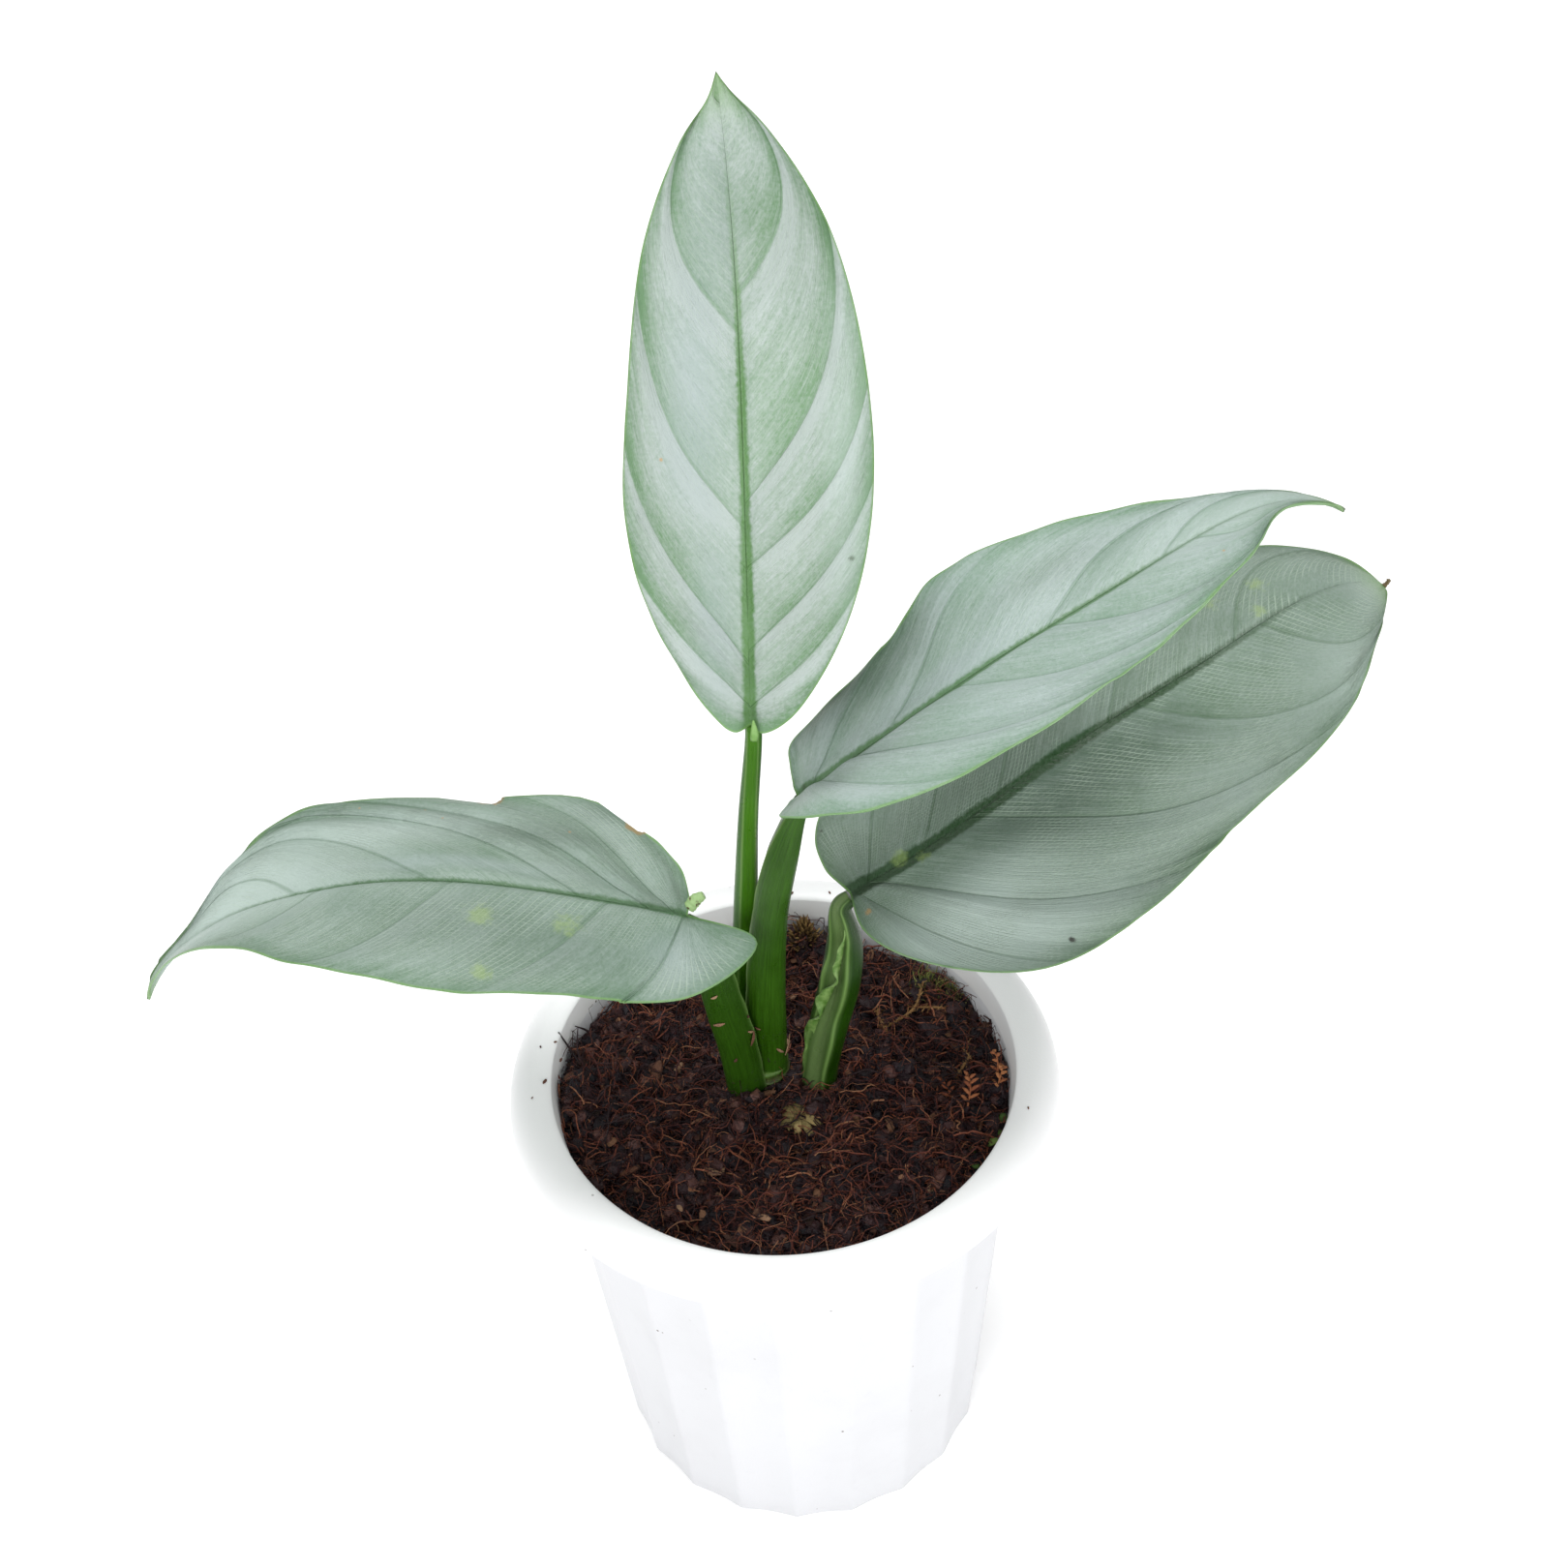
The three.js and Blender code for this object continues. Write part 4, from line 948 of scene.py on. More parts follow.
class Recipe(Wire):
    """A Geometry Nodes tree with named inputs, run once on a base mesh into a plain piece."""

    def __init__(self, name, **inputs):
        super().__init__(bpy.data.node_groups.new(name, "GeometryNodeTree"))
        self.values = {}
        sockets = self.tree.interface
        sockets.new_socket("Base", in_out="INPUT", socket_type="NodeSocketGeometry")
        for key, value in inputs.items():
            kind = "NodeSocketInt" if isinstance(value, int) else "NodeSocketFloat"
            item = sockets.new_socket(key, in_out="INPUT", socket_type=kind)
            self.values[item.identifier] = value
        sockets.new_socket("Shape", in_out="OUTPUT", socket_type="NodeSocketGeometry")
        self.entry = self.tree.nodes.new("NodeGroupInput")

    def __getitem__(self, name):
        return Wire(self.tree, self.entry.outputs[name])

    @property
    def place(self):
        return self.node("GeometryNodeInputPosition")

    def random(self, low, high, seed):
        """A random number, or a random vector between two vectors."""
        if np.ndim(low):
            kind, slots, output = "FLOAT_VECTOR", (0, 1), 0
        else:
            kind, slots, output = "FLOAT", (2, 3), 1
        return self.node("FunctionNodeRandomValue", {slots[0]: low, slots[1]: high, "Seed": seed},
                         output, data_type=kind)

    def moved(self, shape, **how):
        return self.node("GeometryNodeSetPosition", {"Geometry": shape, **how})

    def grow(self, name, base, shape, finish):
        """The piece: realized, with its material, applied and with no modifier left."""
        shape = shape.node("GeometryNodeRealizeInstances", {0: shape})
        shape = shape.node("GeometryNodeSetMaterial", {"Geometry": shape, "Material": finish})
        out = self.tree.nodes.new("NodeGroupOutput")
        self.tree.links.new(shape.socket, out.inputs[0])
        piece = new_object(name, base)
        modifier = piece.modifiers.new("recipe", "NODES")
        modifier.node_group = self.tree
        for identifier, value in self.values.items():
            modifier[identifier] = value
        seen = piece.evaluated_get(bpy.context.evaluated_depsgraph_get())
        mesh = bpy.data.meshes.new_from_object(seen)
        piece.modifiers.clear()
        piece.data = mesh
        mesh.name = name
        mesh.materials.clear()
        mesh.materials.append(finish)
        mesh.polygons.foreach_set("material_index", np.zeros(len(mesh.polygons), np.int32))
        return piece


# Pot

POT_SEGMENTS = 400
SWEEP_RADIUS = 30
SHARP_ANGLE = 40
POT_TONES = {"body": (0.735, 0.745, 0.775), "lip": (0.92, 0.925, 0.93), "dust": (0.6, 0.6, 0.62),
             "inside": (0.5, 0.48, 0.45), "speck": (0.12, 0.09, 0.07)}


def inner_radius(z):
    inset = POT["flute_depth"] + POT["wall"]
    return np.interp(z, [0, LIP_FOOT], [POT["foot"] - inset, POT["body_top"] - inset])


def quarter(radius, z, across, rise, start, end, count=12):
    turn = np.radians(np.linspace(start, end, count))
    return list(zip(radius + across * np.cos(turn), z + rise * np.sin(turn)))


def pot_profile():
    """The wall's outline as (radius, height), from the middle of the underside to that of the
    floor."""
    reach, skin, crest = POT["rim"] - POT["rim_crest"], POT["lip_skin"], POT["rim_crest"]
    edge = POT["height"] - POT["inner_edge_drop"]
    wall = zip(np.linspace(POT["foot"], POT["body_top"], 24)[1:],
               np.linspace(POT["foot_chamfer"], LIP_FOOT, 24)[1:])
    inside = [(float(inner_radius(z)), z) for z in np.linspace(LIP_FOOT, POT["floor"], 8)]
    return [(0, 0), (20, 0), (40, 0), (POT["foot"] - POT["foot_chamfer"], 0),
            (POT["foot"] - 0.35, 0.35), (POT["foot"], POT["foot_chamfer"]), *wall,
            (POT["body_top"], LIP_FOOT + 1.2), (POT["body_top"], LIP_FOOT + POT["lip_hollow"]),
            *quarter(crest, LIP_FOOT, reach - skin, POT["lip_drop"] - skin, 45, 0),
            *quarter(crest, LIP_FOOT, reach, POT["lip_drop"], 0, 90, 20),
            *quarter(crest, edge, crest - POT["rim_inner"], POT["inner_edge_drop"], 90, 180)[1:],
            *inside, (40, POT["floor"]), (20, POT["floor"]), (0, POT["floor"])]


def pot_finish():
    """White moulded plastic, a little blue, with dust in the grooves and dark specks; the body is
    painted darker than the lip, as shade, and the inside under the rim a little darker, as shade.
    """
    finish = Finish("pot_plastic", Roughness=0.42)
    place = finish.place
    z = place.axes()[2]
    cloud = finish.noise(22, 4, 0.6)
    dust = cloud.step(0.45, 0.8) * 0.5 + finish.noise(300).step(0.55, 0.8) * 0.25
    dust = dust * z.step(0.133, 0.1) + z.step(0.012, 0.0) * 0.3
    # Painted shade: the body below the lip takes a darker copy of the lip's white
    lip = z.step(LIP_FOOT * MM, (LIP_FOOT + 1) * MM)
    white = lip.mix(POT_TONES["body"], POT_TONES["lip"])
    colour = (dust * 0.5).mix(white, POT_TONES["dust"])
    # Painted shade: the inside of the pot under the rim is painted a little darker
    away = place.vector("MULTIPLY", (1, 1, 0)).vector("LENGTH", output="Value")
    inside = z.step(0.1415, 0.139) * away.step(0.0632, 0.0622)
    colour = (inside * 0.12).mix(colour, POT_TONES["inside"])
    cells = finish.node("ShaderNodeTexVoronoi", {"Vector": place, "Scale": 130}, "Distance")
    specks = cells.step(0.055, 0.035) * finish.noise(40).step(0.52, 0.6)
    colour = specks.mix(colour, POT_TONES["speck"])
    return finish.wear(Base_Color=colour, Roughness=cloud.swing(0.2) + 0.42,
                       Normal=finish.bump(finish.noise(1500, 2), 0.00004))


def drawn_in(recipe, shape, x, y, z, shrink):
    """The shape with its points drawn in to the pot's axis."""
    return recipe.moved(shape, Position=recipe.join(x * shrink, y * shrink, z))


def pot():
    """The profile swept round a circle, with the flutes pressed in below the lip and the drain
    holes cut."""
    recipe = Recipe("pot_recipe", Flutes=POT["flutes"], Flute_depth=POT["flute_depth"] * MM,
                    Flute_turn=math.radians(POT["flute_azimuth"]), Holes=POT["holes"],
                    Hole_radius=POT["hole_radius"] * MM, Hole_circle=POT["hole_circle"] * MM)
    profile = [(r - SWEEP_RADIUS, -z, 0) for r, z in pot_profile()]
    base = base_mesh("pot_profile", profile, [(i, i + 1) for i in range(len(profile) - 1)])
    ring = recipe.node("GeometryNodeCurvePrimitiveCircle",
                       {"Resolution": POT_SEGMENTS, "Radius": SWEEP_RADIUS * MM})
    line = recipe.node("GeometryNodeMeshToCurve", {0: recipe["Base"]})
    shape = recipe.node("GeometryNodeCurveToMesh", {"Curve": ring, "Profile Curve": line})
    shape = recipe.node("GeometryNodeMergeByDistance", {"Geometry": shape, "Distance": MERGE})
    x, y, z = recipe.place.axes()
    turn = y.math("ARCTAN2", x) - recipe["Flute_turn"]
    flute = (turn * recipe["Flutes"] * 0.5).math("SINE").math("ABSOLUTE") * recipe["Flute_depth"]
    radius = (x * x + y * y).math("SQRT")
    slope = (POT["body_top"] - POT["foot"]) / LIP_FOOT
    skin = radius.math("GREATER_THAN", z * slope + (POT["foot"] - 2) * MM)
    below = z.math("LESS_THAN", (LIP_FOOT + 1.3) * MM)
    within = radius.math("LESS_THAN", (POT["body_top"] + 0.1) * MM)
    shrink = 1 - flute * skin * below * within / radius.math("MAXIMUM", 0.001)
    shape = drawn_in(recipe, shape, x, y, z, shrink)
    drill = recipe.node("GeometryNodeMeshCylinder",
                        {"Vertices": 40, "Radius": recipe["Hole_radius"], "Depth": 0.01})
    spots = recipe.node("GeometryNodeMeshCircle",
                        {"Vertices": recipe["Holes"], "Radius": recipe["Hole_circle"]})
    turned = recipe.node("GeometryNodeTransform",
                         {"Geometry": spots, "Rotation": (0, 0, math.pi / POT["holes"])})
    drills = recipe.node("GeometryNodeInstanceOnPoints", {"Points": turned, "Instance": drill})
    drills = recipe.node("GeometryNodeRealizeInstances", {0: drills})
    shape = recipe.node("GeometryNodeMeshBoolean", {"Mesh 1": shape, "Mesh 2": drills},
                        operation="DIFFERENCE", solver="FLOAT")
    piece = recipe.grow("pot_body", base, shape, pot_finish())
    piece.data.shade_smooth()
    sharpen(piece, SHARP_ANGLE)
    settle(piece, "pot", "pot")


def sharpen(piece, degrees):
    """Edges that turn by more than the angle are sharp."""
    shape = bmesh.new()
    shape.from_mesh(piece.data)
    bmesh.ops.recalc_face_normals(shape, faces=shape.faces)
    for edge in shape.edges:
        if len(edge.link_faces) == 2 and edge.calc_face_angle() > math.radians(degrees):
            edge.smooth = False
    shape.to_mesh(piece.data)
    shape.free()


pot()


# Soil


def humps(kind, x, y):
    return sum(high * bell(np.hypot(x - at_x, y - at_y) / spread)
               for at_x, at_y, high, spread in SOIL[kind])


def soil_height(x, y):
    rise = np.where(x < 0, SOIL["left_rise"], SOIL["right_rise"])
    height = SOIL["level"] + rise * (x / POT["rim_inner"]) ** SOIL["bank_power"]
    for high, wave_x, wave_y, phase in SOIL["lumps"]:
        height = height + high * np.sin(wave_x * x + wave_y * y + phase)
    return height + humps("mounds", x, y)


def rough_soil(x, y):
    """Heaps, clods and crumbs on the soil's height, low at the wall."""
    flat = [(a, b, 0) for a, b in zip(x.ravel(), y.ravel())]
    relief = sum(high * np.array([noise.noise(Vector(p) * scale) for p in flat]).reshape(x.shape)
                 for scale, high in SOIL["relief"])
    calm = smoothstep(62, 57, np.hypot(x, y)) * 0.7 + 0.3
    return soil_height(x, y) + humps("heaps", x, y) + calm * relief - 0.6


def peat_finish():
    finish = Finish("peat", Roughness=0.92, Specular_IOR_Level=0.2)
    coarse = finish.noise(150, 4, 0.65)
    fine = finish.noise(1300, 3, 0.7)
    share = (coarse.step(0.42, 0.75) * 0.6 + (fine - 0.45) * 0.8).within(0, 1)
    return finish.wear(Base_Color=share.mix((0.01, 0.006, 0.008), (0.05, 0.025, 0.021)),
                       Normal=finish.bump(fine + coarse, 0.0006))


def soil_bed():
    """The soil's rough top and its side and underside, which stand free of the pot."""
    sides, rings = 340, 110
    top = float(inner_radius(SOIL["level"])) - SOIL["wall_gap"]
    turn = around(sides)
    radii = top * np.linspace(1, 0, rings + 1)[:-1] ** 0.92
    x, y = (radii[:, None] * f(turn)[None, :] for f in (np.cos, np.sin))
    surface = np.stack((x, y, rough_soil(x, y)), -1)
    low = POT["floor"] + 0.35
    wall = []
    for share in np.linspace(0, 1, 12)[:-1]:
        z = low + (surface[0, :, 2] - low) * share
        reach = inner_radius(z) - SOIL["wall_gap"]
        wall.append(np.stack((reach * np.cos(turn), reach * np.sin(turn), z), -1))
    points, faces = rings_mesh(np.concatenate((np.array(wall), surface)))
    settle(piece_from("soil_bed", points, faces, peat_finish()), "soil", "soil")


soil_bed()


# What lies in the soil: each skin's roughness, and its tones as (place, red, green, blue)

SKINS = {
    "peat_litter": (0.38, (0.0, 0.004, 0.003, 0.006), (0.5, 0.018, 0.008, 0.011),
                    (0.85, 0.05, 0.02, 0.02), (1.0, 0.13, 0.058, 0.045)),
    "flakes": (0.85, (0.0, 0.015, 0.008, 0.006), (0.6, 0.07, 0.03, 0.02), (1.0, 0.22, 0.11, 0.06)),
    "fibre": (0.45, (0.0, 0.007, 0.003, 0.005), (0.4, 0.028, 0.009, 0.01), (0.7, 0.12, 0.03, 0.02),
              (0.92, 0.27, 0.085, 0.042), (1.0, 0.38, 0.19, 0.1)),
    "bark": (0.75, (0.0, 0.05, 0.02, 0.015), (0.5, 0.16, 0.07, 0.04), (1.0, 0.4, 0.25, 0.15)),
    "dry_fern": (0.7, (0.0, 0.09, 0.025, 0.012), (0.6, 0.26, 0.075, 0.032), (1.0, 0.5, 0.2, 0.08)),
    "moss_green": (0.8, (0.0, 0.05, 0.06, 0.012), (0.6, 0.15, 0.17, 0.04), (1.0, 0.34, 0.3, 0.1)),
    "moss_pale": (0.8, (0.0, 0.05, 0.04, 0.015), (0.5, 0.16, 0.125, 0.045), (1.0, 0.38, 0.28, 0.12)),
    "moss_brown": (0.85, (0.0, 0.03, 0.02, 0.008), (0.5, 0.14, 0.08, 0.025), (1.0, 0.34, 0.22, 0.08)),
    "moss_ochre": (0.8, (0.0, 0.06, 0.03, 0.012), (0.5, 0.2, 0.1, 0.035), (1.0, 0.4, 0.24, 0.1)),
    "liverwort_green": (0.6, (0.0, 0.02, 0.05, 0.008), (0.6, 0.07, 0.14, 0.02),
                        (1.0, 0.18, 0.26, 0.06)),
}


def litter_finish(name, rough, *stops):
    """Bits each in their own tone, with fine grain."""
    finish = Finish(name, Roughness=rough, Specular_IOR_Level=0.3)
    grain = finish.noise(1600, 3, 0.7)
    colour = (finish.attribute("tone") + grain.swing(0.5)).ramp(stops)
    return finish.wear(Base_Color=colour, Normal=finish.bump(grain, 0.0004))


skins = {name: litter_finish(name, *looks) for name, looks in SKINS.items()}


def ground_mesh():
    """The open ground that litter falls on: the soil's top, clear of the wall and the stalks."""
    steps = np.arange(-61, 61.5, 1.0)
    x, y = np.meshgrid(steps, steps)
    z = rough_soil(x, y)
    open_ground = np.hypot(x, y) < REACH["open"]
    for foot_x, foot_y, radius in STALK_FEET:
        open_ground &= np.hypot(x - foot_x, y - foot_y) > radius
    faces = [f for f in grid_faces(*x.shape) if open_ground.ravel()[f].all()]
    return base_mesh("open_ground", np.stack((x, y, z), -1), faces=faces)


ground = ground_mesh()


def strewn(recipe, bit, turn, size, seed, names=("tone",)):
    """Copies of a bit on the ground, each with its turn, size and random numbers of its own."""
    spots = recipe.node("GeometryNodeDistributePointsOnFaces", {
        "Mesh": recipe["Base"], "Density": recipe["Density"], "Seed": recipe["Seed"]}, "Points",
        distribute_method="RANDOM")
    shape = recipe.node("GeometryNodeInstanceOnPoints", {
        "Points": spots, "Instance": bit, "Rotation": turn, "Scale": size})
    for k, name in enumerate(names):
        value = recipe.random(0.0, 1.0, seed + 4 + k)
        shape = recipe.node("GeometryNodeStoreNamedAttribute", {
            "Geometry": shape, "Name": name, "Value": value}, data_type="FLOAT", domain="INSTANCE")
    return recipe.node("GeometryNodeRealizeInstances", {0: shape})


def shaken(recipe, shape, scale, height, gain, reach):
    """The shape pushed about by noise, with what would stand in the pot's wall drawn in."""
    push = recipe.node("ShaderNodeTexNoise", {
        "Vector": recipe.place, "Scale": scale, "Detail": 1.0}, "Color")
    push = push.vector("SUBTRACT", (0.5, 0.5, height)).scaled(recipe[gain])
    shape = recipe.moved(shape, Offset=push)
    x, y, z = recipe.place.axes()
    shrink = (REACH[reach] * MM / (x * x + y * y).math("SQRT")).math("MINIMUM", 1)
    return drawn_in(recipe, shape, x, y, z, shrink)


def litter(name, skin, form, density, seed, small, large, sink=0.0, detail=1):
    """Crumbs or chips: a few-faced lump, stretched, sized, turned and dented each its own way."""
    recipe = Recipe(name + "_recipe", Density=float(density), Small=small * MM, Large=large * MM,
                    Dent=0.75 * small * MM, Seed=seed)
    size = (recipe.random(0.0, 1.0, seed + 1) ** 3).spread(recipe["Small"], recipe["Large"])
    scale = recipe.random(*form, seed + 2).scaled(size)
    lump = recipe.node("GeometryNodeMeshIcoSphere", {"Radius": 0.5, "Subdivisions": detail})
    turn = recipe.random((-0.5, -0.5, 0), (0.5, 0.5, math.tau), seed + 3)
    shape = strewn(recipe, lump, turn, scale, seed)
    shape = shaken(recipe, shape, 1 / (small * MM), 0.5 + sink, "Dent", "litter")
    settle(recipe.grow(name, ground, shape, skins[skin]), "soil")


def fibres(name, density, seed, length, thick, rise, curl, lean=0.5, steps=8):
    """Peat fibres: thin arcs laid on the soil, bent by a slow noise."""
    recipe = Recipe(name + "_recipe", Density=float(density), Short=length[0] * MM,
                    Long=length[1] * MM, Thin=thick[0] * MM, Thick=thick[1] * MM,
                    Curl=curl * MM, Rise=float(rise), Seed=seed)
    arc = recipe.node("GeometryNodeCurveQuadraticBezier", {
        "Resolution": steps, "Start": (0, 0, 0), "Middle": recipe.join(0.5, 0, recipe["Rise"]),
        "End": (1, 0, 0)})
    turn = recipe.random((-lean, -lean, 0), (lean, lean * 0.7, math.tau), seed + 3)
    chance = recipe.random(0.0, 1.0, seed + 1)
    size = (chance * chance).spread(recipe["Short"], recipe["Long"])
    shape = strewn(recipe, arc, turn, size, seed, ("tone", "weight"))
    shape = shaken(recipe, shape, 190.0, 0.42, "Curl", "fibres")
    weight = recipe.node("GeometryNodeInputNamedAttribute", {"Name": "weight"}, data_type="FLOAT")
    girth = (weight * weight).spread(recipe["Thin"], recipe["Thick"])
    ring = recipe.node("GeometryNodeCurvePrimitiveCircle", {"Resolution": 3, "Radius": 1.0})
    shape = recipe.node("GeometryNodeCurveToMesh", {
        "Curve": shape, "Profile Curve": ring, "Scale": girth, "Fill Caps": True})
    settle(recipe.grow(name, ground, shape, skins["fibre"]), "soil")


litter("soil_clods", "peat_litter", ((0.7, 0.6, 0.4), (1.3, 1, 0.7)), 14000, 91, 3.0, 8.0, 0.5, 3)
litter("soil_crumbs", "peat_litter", ((0.6, 0.6, 0.5), (1.4, 1, 0.9)), 600000, 11, 1.0, 6.0, 0.2)
litter("soil_flakes", "flakes", ((0.8, 0.5, 0.12), (1.8, 0.9, 0.3)), 110000, 31, 1.2, 4.5, -0.6)
fibres("soil_fibres", 230000, 51, (3, 13), (0.07, 0.32), 0.5, 4.8)
fibres("soil_threads", 60000, 71, (7, 19), (0.07, 0.17), 0.5, 9)
fibres("soil_fuzz", 460000, 111, (1.6, 5), (0.06, 0.24), 0.8, 3.2, 1.2, 4)


def on_soil(x, y, lift=0.0):
    return np.array([x, y, float(rough_soil(np.array([x]), np.array([y]))[0]) + lift])


# Bark chips the photograph shows: x, y, length, width, turn in degrees, tone

CHIPS = [(-21, -25, 7, 3.4, 170, 0.75), (37, -35, 9.5, 3, 65, 0.9), (-13, -45, 7, 3.2, 60, 0.6),
         (-43, -23, 6, 2.2, 20, 0.45), (-8, -44, 4.5, 2, 140, 0.7), (20, 16, 6, 3, 30, 0.5),
         (2, 34, 6.5, 2.6, 15, 0.7), (10, 38, 4, 2, 100, 0.55), (-35, 10, 6.5, 3, 75, 0.35),
         (-40, 21, 3.4, 2.6, 10, 0.8), (-29, 12.6, 3, 2.2, 50, 0.85), (48, 12, 4, 1.8, 120, 0.5),
         (-50, -6, 4.5, 2, 80, 0.5), (24, -46, 4, 1.6, 20, 0.6), (-30, -38, 4.5, 1.4, 110, 0.8),
         (6.5, -19, 6.5, 0.8, 8, 0.95), (-5, -20.5, 4, 0.7, 40, 0.9), (-6, -8.7, 9, 0.8, 115, 0.4),
         (52, -16, 5, 1.2, 75, 0.6), (-24, -8, 5, 1, 35, 0.55), (14, -36, 5.5, 0.9, 150, 0.5)]


def chips():
    """The bark chips, and one that leans on the stalks."""
    parts = []
    for x, y, length, width, turn, tone in CHIPS:
        reach = compass(turn) * length / 2
        tilt = rng.uniform(-0.8, 0.8)
        middle = on_soil(x, y, 1.3)
        path = [middle - reach + (0, 0, tilt), middle + (0, 0, 0.25), middle + reach - (0, 0, tilt)]
        sway = rng.uniform(0.8, 1.2, 3)
        widths = (0.55 * width * sway[0], width * sway[1], 1.05 * width, 0.5 * width * sway[2])
        parts.append((ribbon(path, widths, (0.3, 0.9, 0.8, 0.3), 8), tone))
    parts.append((ribbon([(-1.5, 9.8, 137), (0.4, 10.6, 137.4), (2.2, 11.8, 137.8)],
                         (1, 2.6, 1.4), (0.3, 0.6, 0.3)), 0.85))
    bits("bark_chips", "soil", skins["bark"], parts)


# Grit stuck on the stalks: place, which way the skin faces, length, width, lean, tone

GRIT = [((-16, -4.8, 164.8), 264, 3.2, 1.3, 75, 0.7), ((-7.7, -1.6, 154.6), -39, 4.6, 1.7, 20, 0.45),
        ((-8, -1.6, 157.5), -39, 3, 0.8, 130, 0.8), ((1.5, 4.6, 144.2), -19, 6, 1.2, 55, 0.85),
        ((-16.6, -5.4, 176.1), 270, 2, 1, 60, 0.95), ((-12.6, -3.9, 149.1), 270, 1.6, 0.9, 30, 0.2),
        ((-0.5, 2.1, 144.9), -69, 3, 0.9, 140, 0.75), ((-8.5, -1.6, 163.5), -39, 1.2, 0.7, 0, 0.1),
        ((-6, 1.9, 154.7), -116, 1.8, 0.8, 100, 0.55)]


def grit():
    parts = []
    for place, facing, length, width, lean, tone in GRIT:
        out = compass(facing)
        reach = compass(facing + 90) * math.sin(math.radians(lean)) * length / 2
        reach = reach + (0, 0, math.cos(math.radians(lean)) * length / 2)
        path = [place - reach + out * 0.1, place + out * 0.4, place + reach + out * 0.15]
        parts.append((ribbon(path, (width * 0.4, width, width * 0.3), (0.2, 0.4, 0.2), 7, out), tone))
    bits("stalk_grit", "soil", skins["bark"], parts)


# Dry fern bits: start, turn in degrees, length, leaflets, rise, tone

FRONDS = [((25, 3), 80, 12, 10, 3, 0.6), ((49, -12), 75, 10, 9, 2.5, 0.7),
          ((57.5, -6), 60, 7, 7, 4, 0.9), ((45, -6), 100, 7, 7, 1.5, 0.5),
          ((58.5, -2), 95, 6, 6, 5, 0.8)]


def frond(start, turn, length, pinnae, rise, tone):
    """A bent rib with short leaflets both ways."""
    heading, out = compass(turn), compass(turn + 90)
    base = on_soil(*start, 1.9)
    spine = [base, base + heading * length * 0.5 + (0, 0, rise),
             base + heading * length + out * length * 0.15 + (0, 0, rise * 0.6)]
    parts = [(ribbon(spine, (0.5, 0.4, 0.25), (0.4, 0.3, 0.2), 8), tone)]
    line = smooth_line(spine, pinnae + 2, 300)
    for k in range(1, pinnae + 1):
        side = out if k % 2 else -out
        reach = length * 0.34 * (1 - 0.6 * k / pinnae) * rng.uniform(0.8, 1.2)
        tip = line[k] + side * reach + heading * reach * 0.8 + (0, 0, rng.uniform(-0.3, 0.9))
        parts.append((ribbon(arc_between(line[k], tip, (0, 0, 0.3)), (0.6, 1.2, 0.4),
                             (0.3, 0.3, 0.2), 5), tone + rng.uniform(-0.15, 0.15)))
    return parts


def ferns():
    bits("fern_bits", "soil", skins["dry_fern"], [part for bit in FRONDS for part in frond(*bit)])


# Moss: where the star and the clump stand, and the strand's stalks as (start, end, bow)

STAR_PLACE = (3.6, -10.2)
CLUMP_PLACE = (8.8, 54.5, 129.5)
STRANDS = [((28, 20), (41, 31), 3), ((30, 17), (29, 28), -2), ((36, 27), (47, 24), 2),
           ((47, 2), (52, 13), 1.5)]


def moss_star():
    """A star of pale leaflets before the stalks."""
    parts = []
    arms = 11
    centre = on_soil(*STAR_PLACE, 2.2)
    for k in range(arms):
        heading = compass(360 * k / arms + rng.uniform(-8, 8))
        reach = rng.uniform(4.4, 6.4)
        path = [centre, centre + heading * reach * 0.55 + (0, 0, 1.1),
                centre + heading * reach + (0, 0, 0.2)]
        parts.append((ribbon(path, (0.9, 1.5, 2.6, 1.8), (0.4, 0.35, 0.3, 0.2), 7),
                      rng.uniform(0.4, 1)))
        for side in (-1, 1):
            tip = path[2] + compass(math.degrees(math.atan2(heading[1], heading[0])) + 55 * side)
            parts.append((ribbon([path[1], path[2], tip], (0.4, 0.7, 0.3), (0.3, 0.2, 0.1), 4),
                          rng.uniform(0.2, 0.8)))
    return parts


def moss_clump():
    """A spiky brown clump at the back."""
    parts = []
    for _ in range(230):
        turn, tilt = rng.uniform(0, 360), rng.uniform(0.05, 1.35)
        heading = compass(turn) * math.sin(tilt) + np.array([0, 0, math.cos(tilt)])
        root = np.array(CLUMP_PLACE) + heading * (rng.uniform(1.5, 5), rng.uniform(1.5, 3.6),
                                                  rng.uniform(3, 10.5))
        tip = root + heading * rng.uniform(1.3, 2.6) + (0, 0, 0.5)
        parts.append((ribbon(arc_between(root, tip, rng.uniform(-0.2, 0.2, 3)), (0.8, 0.7, 0.2),
                             (0.6, 0.5, 0.15), 4), rng.uniform(0.1, 1)))
    return parts


def moss_tuft():
    """A green tuft on the right."""
    parts = []
    for _ in range(150):
        share = rng.uniform(0, 1)
        x, y = 39 + 16 * share + rng.normal(0, 1.8), 32 + 2 * share + rng.normal(0, 2.2)
        inward = min(1, REACH["tuft"] / math.hypot(x, y))
        root = on_soil(x * inward, y * inward, -0.3)
        lean = rng.normal(0, 1.6, 2)
        tip = root + (*lean, rng.uniform(1.5, 5.2))
        parts.append((ribbon(arc_between(root, tip, (-lean[1] * 0.3, lean[0] * 0.3, 0.6)),
                             (0.45, 0.35, 0.1), (0.25, 0.2, 0.1), 5), rng.uniform(0, 1)))
    return parts


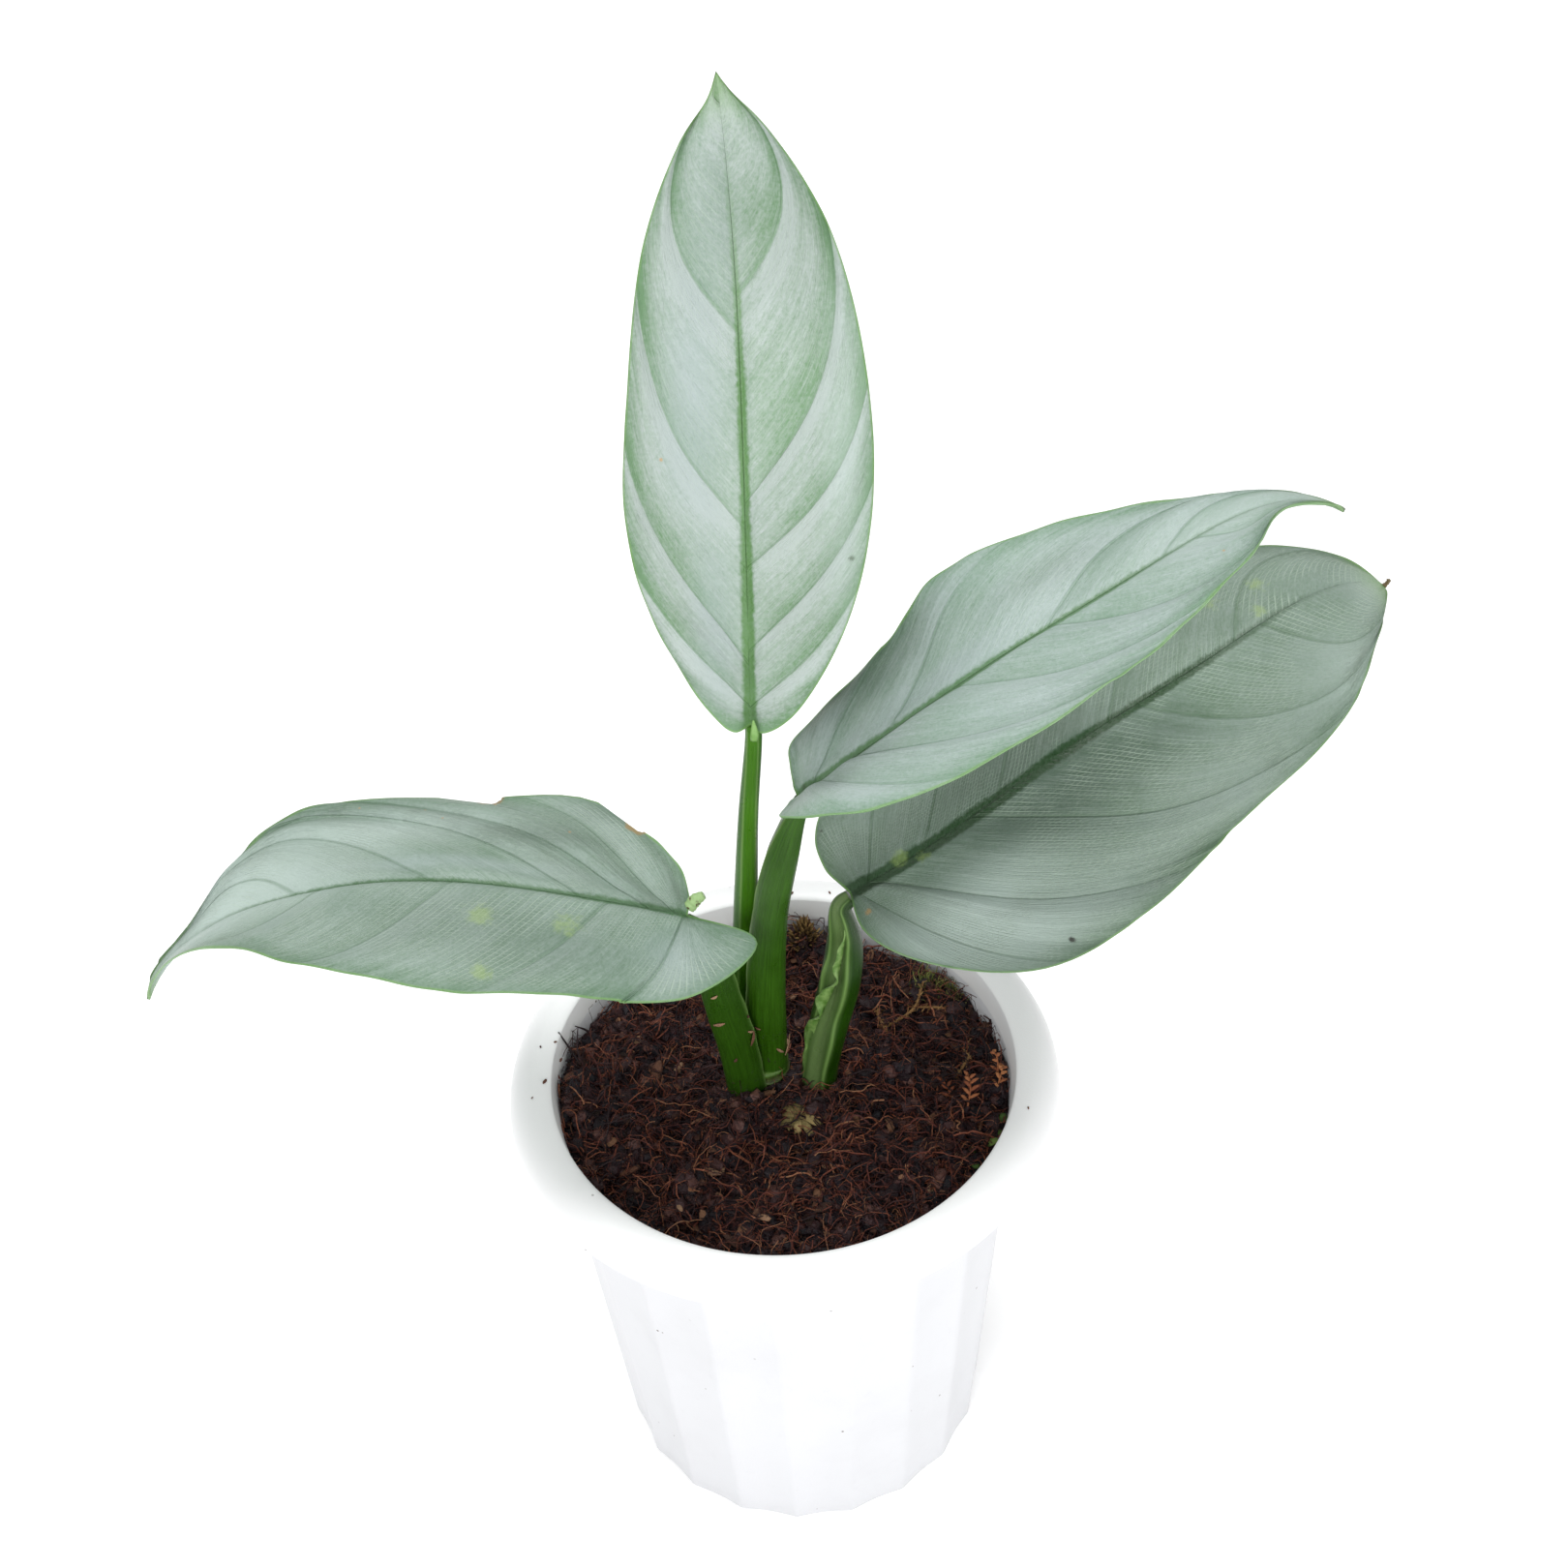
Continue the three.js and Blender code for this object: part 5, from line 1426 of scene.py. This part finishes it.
def moss_strand():
    """Ochre stalks with short leaflets all round."""
    parts = []
    for start, end, bow in STRANDS:
        path = arc_between(on_soil(*start, 0.9), on_soil(*end, 1.2), (bow, -bow, 2.2))
        line = smooth_line(path, 22, 300)
        parts.append((tube(line[::3], 0.35, 18, 6), 0.6))
        for point in np.repeat(line, 3, 0):
            tip = point + rng.normal(0, 0.75, 3) + (0, 0, 0.3)
            parts.append((ribbon(arc_between(point, tip), (0.35, 0.3, 0.1), (0.2, 0.2, 0.1), 3),
                          rng.uniform(0.2, 1)))
    return parts


def moss():
    star, clump, tuft, strand = moss_star(), moss_clump(), moss_tuft(), moss_strand()
    for name, skin, parts in (("tuft", "green", tuft), ("star", "pale", star),
                              ("clump", "brown", clump), ("strand", "ochre", strand)):
        bits("moss_" + name, "soil", skins["moss_" + skin], parts)


# Liverwort lobes: x, y, turn in degrees, reach

LOBES = [(56, -20, -20, 4.5), (57.5, -17, 40, 3.5), (51.5, -26, -60, 4), (53, -24, 10, 4.5),
         (49, -29, -80, 3.2), (56, -23, -90, 3), (50, -25, 160, 2.6)]


def liverwort():
    """Small green lobes low against the wall."""
    parts = []
    for x, y, turn, reach in LOBES:
        root = on_soil(x, y, 0.5)
        tip = root + compass(turn) * reach * (0.7, 0.7, 1) + (0, 0, 1.6)
        tip[:2] *= min(1, REACH["lobes"] / math.hypot(tip[0], tip[1]))
        parts.append((ribbon(arc_between(root, tip, (0, 0, 0.9)), (0.8, 2.2, 2.4, 1.2),
                             (0.3, 0.3, 0.3, 0.15), 7), rng.uniform(0.2, 0.9)))
    bits("liverwort", "soil", skins["liverwort_green"], parts)


# Dark twigs that lean on the left of the rim: path, radii, tone

RIM_TWIGS = [([(-55.6, 12, 132.5), (-58.4, 15.6, 136), (-61.2, 17.4, 141.6)], (0.35, 0.3, 0.2), 0.1),
             ([(-53, 8, 131), (-56.3, 14, 137), (-55.9, 19.6, 141)], (0.4, 0.3, 0.15), 0.2),
             ([(-50, 22, 131), (-54, 24, 134), (-57, 22.5, 138)], (0.4, 0.35, 0.15), 0.15)]


def twigs():
    """The dark twigs, and roots that stand off the soil."""
    parts = [(tube(path, radii, 18, 8), tone) for path, radii, tone in RIM_TWIGS]
    for _ in range(46):
        turn, away = rng.uniform(0, 2 * np.pi), REACH["roots"] * math.sqrt(rng.uniform(0.02, 1))
        x, y = away * math.cos(turn), away * math.sin(turn)
        if any(math.hypot(x - fx, y - fy) < radius + 4 for fx, fy, radius in STALK_FEET):
            continue
        base = on_soil(x, y, 0.2)
        tip = base + (*rng.normal(0, 3.2, 2), rng.uniform(1.2, 4.8))
        if math.hypot(tip[0], tip[1]) > REACH["root_tips"]:
            continue
        path = arc_between(base, tip, (rng.normal(0, 1.2), rng.normal(0, 1.2), 1.2))
        parts.append((tube(path, (0.32, 0.26, 0.12), 9, 6), rng.uniform(0, 0.9)))
    bits("twigs", "soil", skins["fibre"], parts)


# Crumbs of peat left on the rim: x, y, size

RIM_SPECKS = [(-64.7, -0.4, 1), (-60.5, 8, 0.8), (-62, 14, 0.6), (-46, 44, 0.7), (56, 34, 0.9),
              (60, 28, 0.6), (6, 64.5, 0.8), (17, 63.5, 0.6), (-66, 12, 0.5), (64, -22, 0.5),
              (-30, 58, 0.6), (-68, -6, 0.4), (38, 53, 0.5)]


def rim_specks():
    parts = []
    crest = POT["rim_crest"]
    for x, y, size in RIM_SPECKS:
        away = math.hypot(x, y)
        if away > crest:
            across, drop = POT["rim"] - crest, POT["lip_drop"]
        else:
            across, drop = crest - POT["rim_inner"], POT["inner_edge_drop"]
        share = min(1, abs(away - crest) / across)
        spot = np.array([x, y, POT["height"] - drop * (1 - math.sqrt(1 - share * share)) + 0.1])
        heading = compass(rng.uniform(0, 360)) * size * 0.8
        parts.append((tube([spot - heading, spot + (0, 0, 0.15), spot + heading],
                           (size * 0.3, size * 0.45, size * 0.2), 7, 7, 0.2), rng.uniform(0, 0.5)))
    bits("rim_specks", "soil", skins["bark"], parts)


chips()
grit()
ferns()
rim_specks()
moss()
liverwort()
twigs()


# Floor, light and camera. Lights are (name, place, size, power, what they look at), in metres.

FLOOR_HALF = 3000
FLOOR_DROP = 0.05
WHITE = (1, 1, 1)
WORLD_STRENGTH = 0.66
LIGHTS = [("key", (-0.45, -1.55, 1.15), 0.8, 12.5, (0, 0, 0.15)),
          ("overhead", (-0.25, 0.35, 1.7), 0.7, 12, (0, 0, 0.15)),
          ("fill", (1.3, -1.2, 0.45), 1.0, 7, (0, 0, 0.1))]


def stage_set():
    """An even white floor and world, and three soft lights."""
    corners = [(x * FLOOR_HALF, y * FLOOR_HALF, -FLOOR_DROP)
               for x, y in ((-1, -1), (1, -1), (1, 1), (-1, 1))]
    white = Finish("floor_white", Roughness=0.9, Emission_Strength=0.2,
                   Base_Color=(0.95, 0.95, 0.95), Emission_Color=WHITE)
    floor = piece_from("floor", corners, [[0, 1, 2, 3]], white.material)
    world = bpy.data.worlds.new("studio")
    bpy.context.scene.world = world
    world.use_nodes = True
    background = world.node_tree.nodes["Background"]
    background.inputs["Color"].default_value = (*WHITE, 1)
    background.inputs["Strength"].default_value = WORLD_STRENGTH
    for name, place, size, power, target in LIGHTS:
        data = bpy.data.lights.new(name, "AREA")
        data.shape = "DISK"
        data.size = size
        data.energy = power
        light = new_object(name, data)
        light.location = place
        light.rotation_euler = (Vector(target) - Vector(place)).to_track_quat("-Z", "Y").to_euler()


def camera():
    data = bpy.data.cameras.new("camera")
    data.lens = CAMERA["lens"]
    data.sensor_width = CAMERA["film"]
    data.sensor_height = CAMERA["film"]
    data.clip_start = 0.01
    view = new_object("camera", data)
    view.location = Vector(CAMERA["place"]) * MM
    turn = (Matrix.Rotation(math.radians(-CAMERA["azimuth"]), 4, "Z")
            @ Matrix.Rotation(math.radians(90 - CAMERA["down"]), 4, "X")
            @ Matrix.Rotation(math.radians(-CAMERA["roll"]), 4, "Z"))
    view.rotation_euler = turn.to_euler()
    bpy.context.scene.camera = view


stage_set()
camera()
bpy.context.scene.view_settings.view_transform = "Standard"
